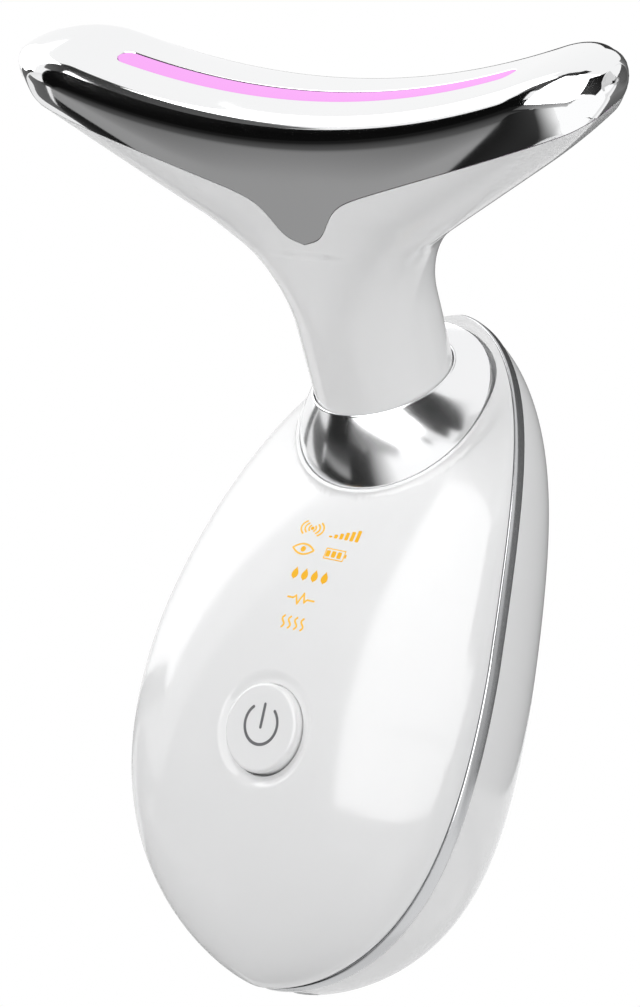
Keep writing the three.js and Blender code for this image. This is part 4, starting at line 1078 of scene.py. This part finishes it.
# --------------------
# Studio: a pale floor below the body and a pale surround. Camera, mirrors and glass see the surround as plain
# white and the floor as nearly white, so that it keeps the body's shadow.
FLOOR_Z = -0.12
FLOOR_HALF = 1.5


def show_white(tree, own, plain, output, share):
    """Camera, mirror and glass rays see share parts of plain white and the rest of the tree's own shader:
    mix = share · min(camera + glossy + transmission, 1). All other rays see only its own shader."""
    path = add_node(tree, "LightPath", {}).outputs
    seen = path["Is Camera Ray"]
    for ray in ("Is Glossy Ray", "Is Transmission Ray"):
        seen = add_node(tree, "Math", {0: seen, 1: path[ray]}, use_clamp=True).outputs[0]
    seen = add_node(tree, "Math", {0: seen, 1: share}, operation="MULTIPLY").outputs[0]
    white = add_node(tree, plain, {"Color": (1, 1, 1, 1), "Strength": 1.0}).outputs[0]
    mix = add_node(tree, "MixShader", {"Fac": seen, 1: tree.nodes[own].outputs[0], 2: white})
    feed(tree, tree.nodes[output], {"Surface": mix.outputs[0]})


floor_material = finish(
    "floor", (0.74, 0.74, 0.74), (0.77, 0.77, 0.77), (0.7, 0.8), slow=3, fine=40, Specular_IOR_Level=0.0
)
show_white(floor_material.node_tree, "Principled BSDF", "Emission", "Material Output", 0.7)
mesh = bpy.data.meshes.new("floor")
corners = [(FLOOR_HALF * x, FLOOR_HALF * y, FLOOR_Z) for x, y in ((-1, -1), (1, -1), (1, 1), (-1, 1))]
mesh.from_pydata(corners, [], [(0, 1, 2, 3)])
mesh.materials.append(floor_material)
add_object("floor", mesh)

world = bpy.data.worlds.new("world")
world.use_nodes = True
scene.world = world
feed(world.node_tree, world.node_tree.nodes["Background"], {"Color": (0.985, 0.99, 1, 1), "Strength": 0.55})
show_white(world.node_tree, "Background", "Background", "World Output", 1.0)

# --------------------
# Lights: a large soft one above on the left, a weaker one on the right, and one from the top. The cards
# that follow are what glossy surfaces mirror, far off, near the head and just above the floor: white, grey
# and black ones, some with a fade between their corners.
SUBJECT = np.array([0.0, -0.03, 0.01])
CARD_POINTS = 17


def soft_light(name, place, target, size, power):
    """A square area light that faces a target."""
    data = bpy.data.lights.new(name, "AREA")
    data.size = size
    data.energy = power
    light = add_object(name, data)
    light.location = place
    light.rotation_euler = (Vector(target) - Vector(place)).to_track_quat("-Z", "Y").to_euler()
    light.visible_glossy = False


def glow_material():
    """Emission whose strength is the "level" that a card carries at its points."""
    material = bpy.data.materials.new("card")
    material.use_nodes = True
    tree = material.node_tree
    tree.nodes.remove(tree.nodes["Principled BSDF"])
    level = add_node(tree, "Attribute", {}, attribute_name="level").outputs["Fac"]
    light = add_node(tree, "Emission", {"Strength": level})
    feed(tree, tree.nodes["Material Output"], {"Surface": light.outputs[0]})
    return material


GLOW = glow_material()


def far_point(turn, lift, distance):
    """A point seen from the subject at an azimuth, where 0 is -y and 90 is +x, and an elevation."""
    turn, lift = np.radians(turn), np.radians(lift)
    way = np.stack([np.sin(turn) * np.cos(lift), -np.cos(turn) * np.cos(lift), np.sin(lift)], -1)
    return SUBJECT + distance * way


def floor_point(side, front, above):
    """A point a little above the floor, at distances to the right and to the front of the subject."""
    return np.stack([SUBJECT[0] + side, SUBJECT[1] - front, 0 * side + FLOOR_Z + above], -1)


def card(name, place, reach, corners, levels):
    """A card that only mirrors show. Four corners, two numbers each, go round it, and place and brightness
    are blended between them: (1-s)(1-t)·A + s(1-t)·B + s·t·C + (1-s)t·D."""
    s, t = np.meshgrid(np.linspace(0, 1, CARD_POINTS), np.linspace(0, 1, CARD_POINTS), indexing="ij")
    share = np.stack([(1 - s) * (1 - t), s * (1 - t), s * t, (1 - s) * t], -1)
    first, second = np.moveaxis(share @ np.reshape(corners, (4, 2)), -1, 0)
    points, faces = sheet_of(place(first, second, reach), False)
    mesh = bpy.data.meshes.new(name)
    mesh.from_pydata(points.tolist(), [], faces.tolist())
    level = mesh.attributes.new("level", "FLOAT", "POINT")
    level.data.foreach_set("value", (share @ np.array(levels, float)).ravel())
    mesh.materials.append(GLOW)
    made = add_object(name, mesh)
    for way in ("camera", "diffuse", "transmission", "volume_scatter", "shadow"):
        setattr(made, "visible_" + way, False)


soft_light("key", (-0.45, -0.75, 0.35), (0, 0, 0), 0.5, 3.6)
soft_light("fill", (0.75, -0.3, 0.3), (0, 0, 0), 0.5, 1.9)
soft_light("top", (0.0, 0.1, 0.8), (0, 0, 0), 0.6, 1.4)
# Each has its distance, its corners' azimuths and elevations, and its brightness at each corner.
for name, reach, corners, levels in (
    ("white_left", 1.8, (-68, -2, -50, 24, -100, 30, -100, -2), (4, 4, 1.6, 1.6)),
    ("white_left_high", 1.8, (-50, 24, -38, 48, -90, 55, -100, 30), (4, 4, 1.6, 1.6)),
    ("white_right", 1.8, (-24, -4.1, 50, -4.1, 50, 46, -24, 46), 4 * (4,)),
    ("black_near", 0.26, (-72, -26, -24, -26, -24, 6, -58, -2), (0.004, 0.004, 0.003, 0.003)),
    ("black_top", 0.26, (-58, -2, -24, 6, -24, 34, -44, 18), (0.003, 0.003, 0.01, 0.003)),
    ("black_high", 1.9, (-46, 15, -24, 15, -13, 62, -42, 62), (0.15, 0.06, 0.01, 0.01)),
    ("black_right", 1.7, (49, 9, 76, 9, 67, 44, 53, 38), (0.15, 0.01, 0.01, 0.02)),
    ("black_tip", 0.09, (46, 8, 80, 8, 77, 46, 47, 42), (0.08, 0.02, 0.004, 0.004)),
    ("grey_left", 1.7, (-125, -4.4, -68, -4.4, -72, 1, -125, 1), (0.2, 0.012, 0.03, 0.3)),
    ("black_back", 1.7, (-215, 0, -133, 12, -133, 50, -215, 60), (0.3, 0.02, 0.02, 0.2)),
    ("pale_back", 1.7, (75, -4.4, 145, -4.4, 145, 30, 75, 30), (0.6, 0.6, 0.75, 0.75)),
):
    card(name, far_point, reach, corners, levels)
# Each has its height above the floor, its corners' distances to the right and to the front, in metres,
# and its brightness at each corner.
for name, reach, corners, levels in (
    ("white_low", 0.002, (-0.104, 0.233, 0.195, 0.164, 1.37, 1.15, -0.73, 1.64), 4 * (4,)),
    ("black_low", 0.001, (-0.33, 0.12, -0.03, 0.12, -0.3, 0.75, -0.75, 0.55), (0.01, 0.012, 0.003, 0.003)),
    ("dark_low", 0.001, (-0.33, 0.06, -0.085, 0.06, -0.03, 0.12, -0.33, 0.12), (0.05, 0.09, 0.012, 0.008)),
    ("edge_low", 0.001, (-0.26, 0.048, -0.085, 0.048, -0.085, 0.06, -0.26, 0.06), (0.25, 0.31, 0.09, 0.08)),
    ("grey_low", 0.001, (-0.26, 0.024, -0.085, 0.024, -0.085, 0.048, -0.26, 0.048), (0.27, 0.33, 0.33, 0.3)),
    ("black_foot", 0.001, (-0.33, -0.2, -0.085, -0.2, -0.085, 0.024, -0.26, 0.024),
     (0.1, 0.05, 0.004, 0.01)),
    ("black_by", 0.002, (-0.085, -0.06, -0.02, -0.06, -0.02, 0.12, -0.085, 0.08), (0.006, 0.02, 0.05, 0.01)),
    ("dark_by", 0.002, (-0.02, -0.06, 0.04, -0.06, 0.05, 0.12, -0.02, 0.12), (0.02, 1.1, 0.9, 0.03)),
    ("grey_side", 0.001, (-1.2, -0.09, -0.26, -0.06, -0.3, 0.1, -1.2, 0.12), (0.2, 0.12, 0.1, 0.2)),
    ("white_by", 0.001, (0.04, -0.6, 1.2, -0.6, 1.2, 0.6, 0.05, 0.12), 4 * (1.1,)),
    ("grey_front", 0.0015, (-0.1, 0.12, 0.09, 0.12, 0.15, 0.19, -0.104, 0.233), (0.06, 0.6, 0.3, 0.14)),
    ("black_spot", 0.003, (0.36, 0.33, 0.5, 0.28, 0.6, 0.4, 0.42, 0.46), 4 * (0.003,)),
):
    card(name, floor_point, reach, corners, levels)

bpy.context.view_layer.update()
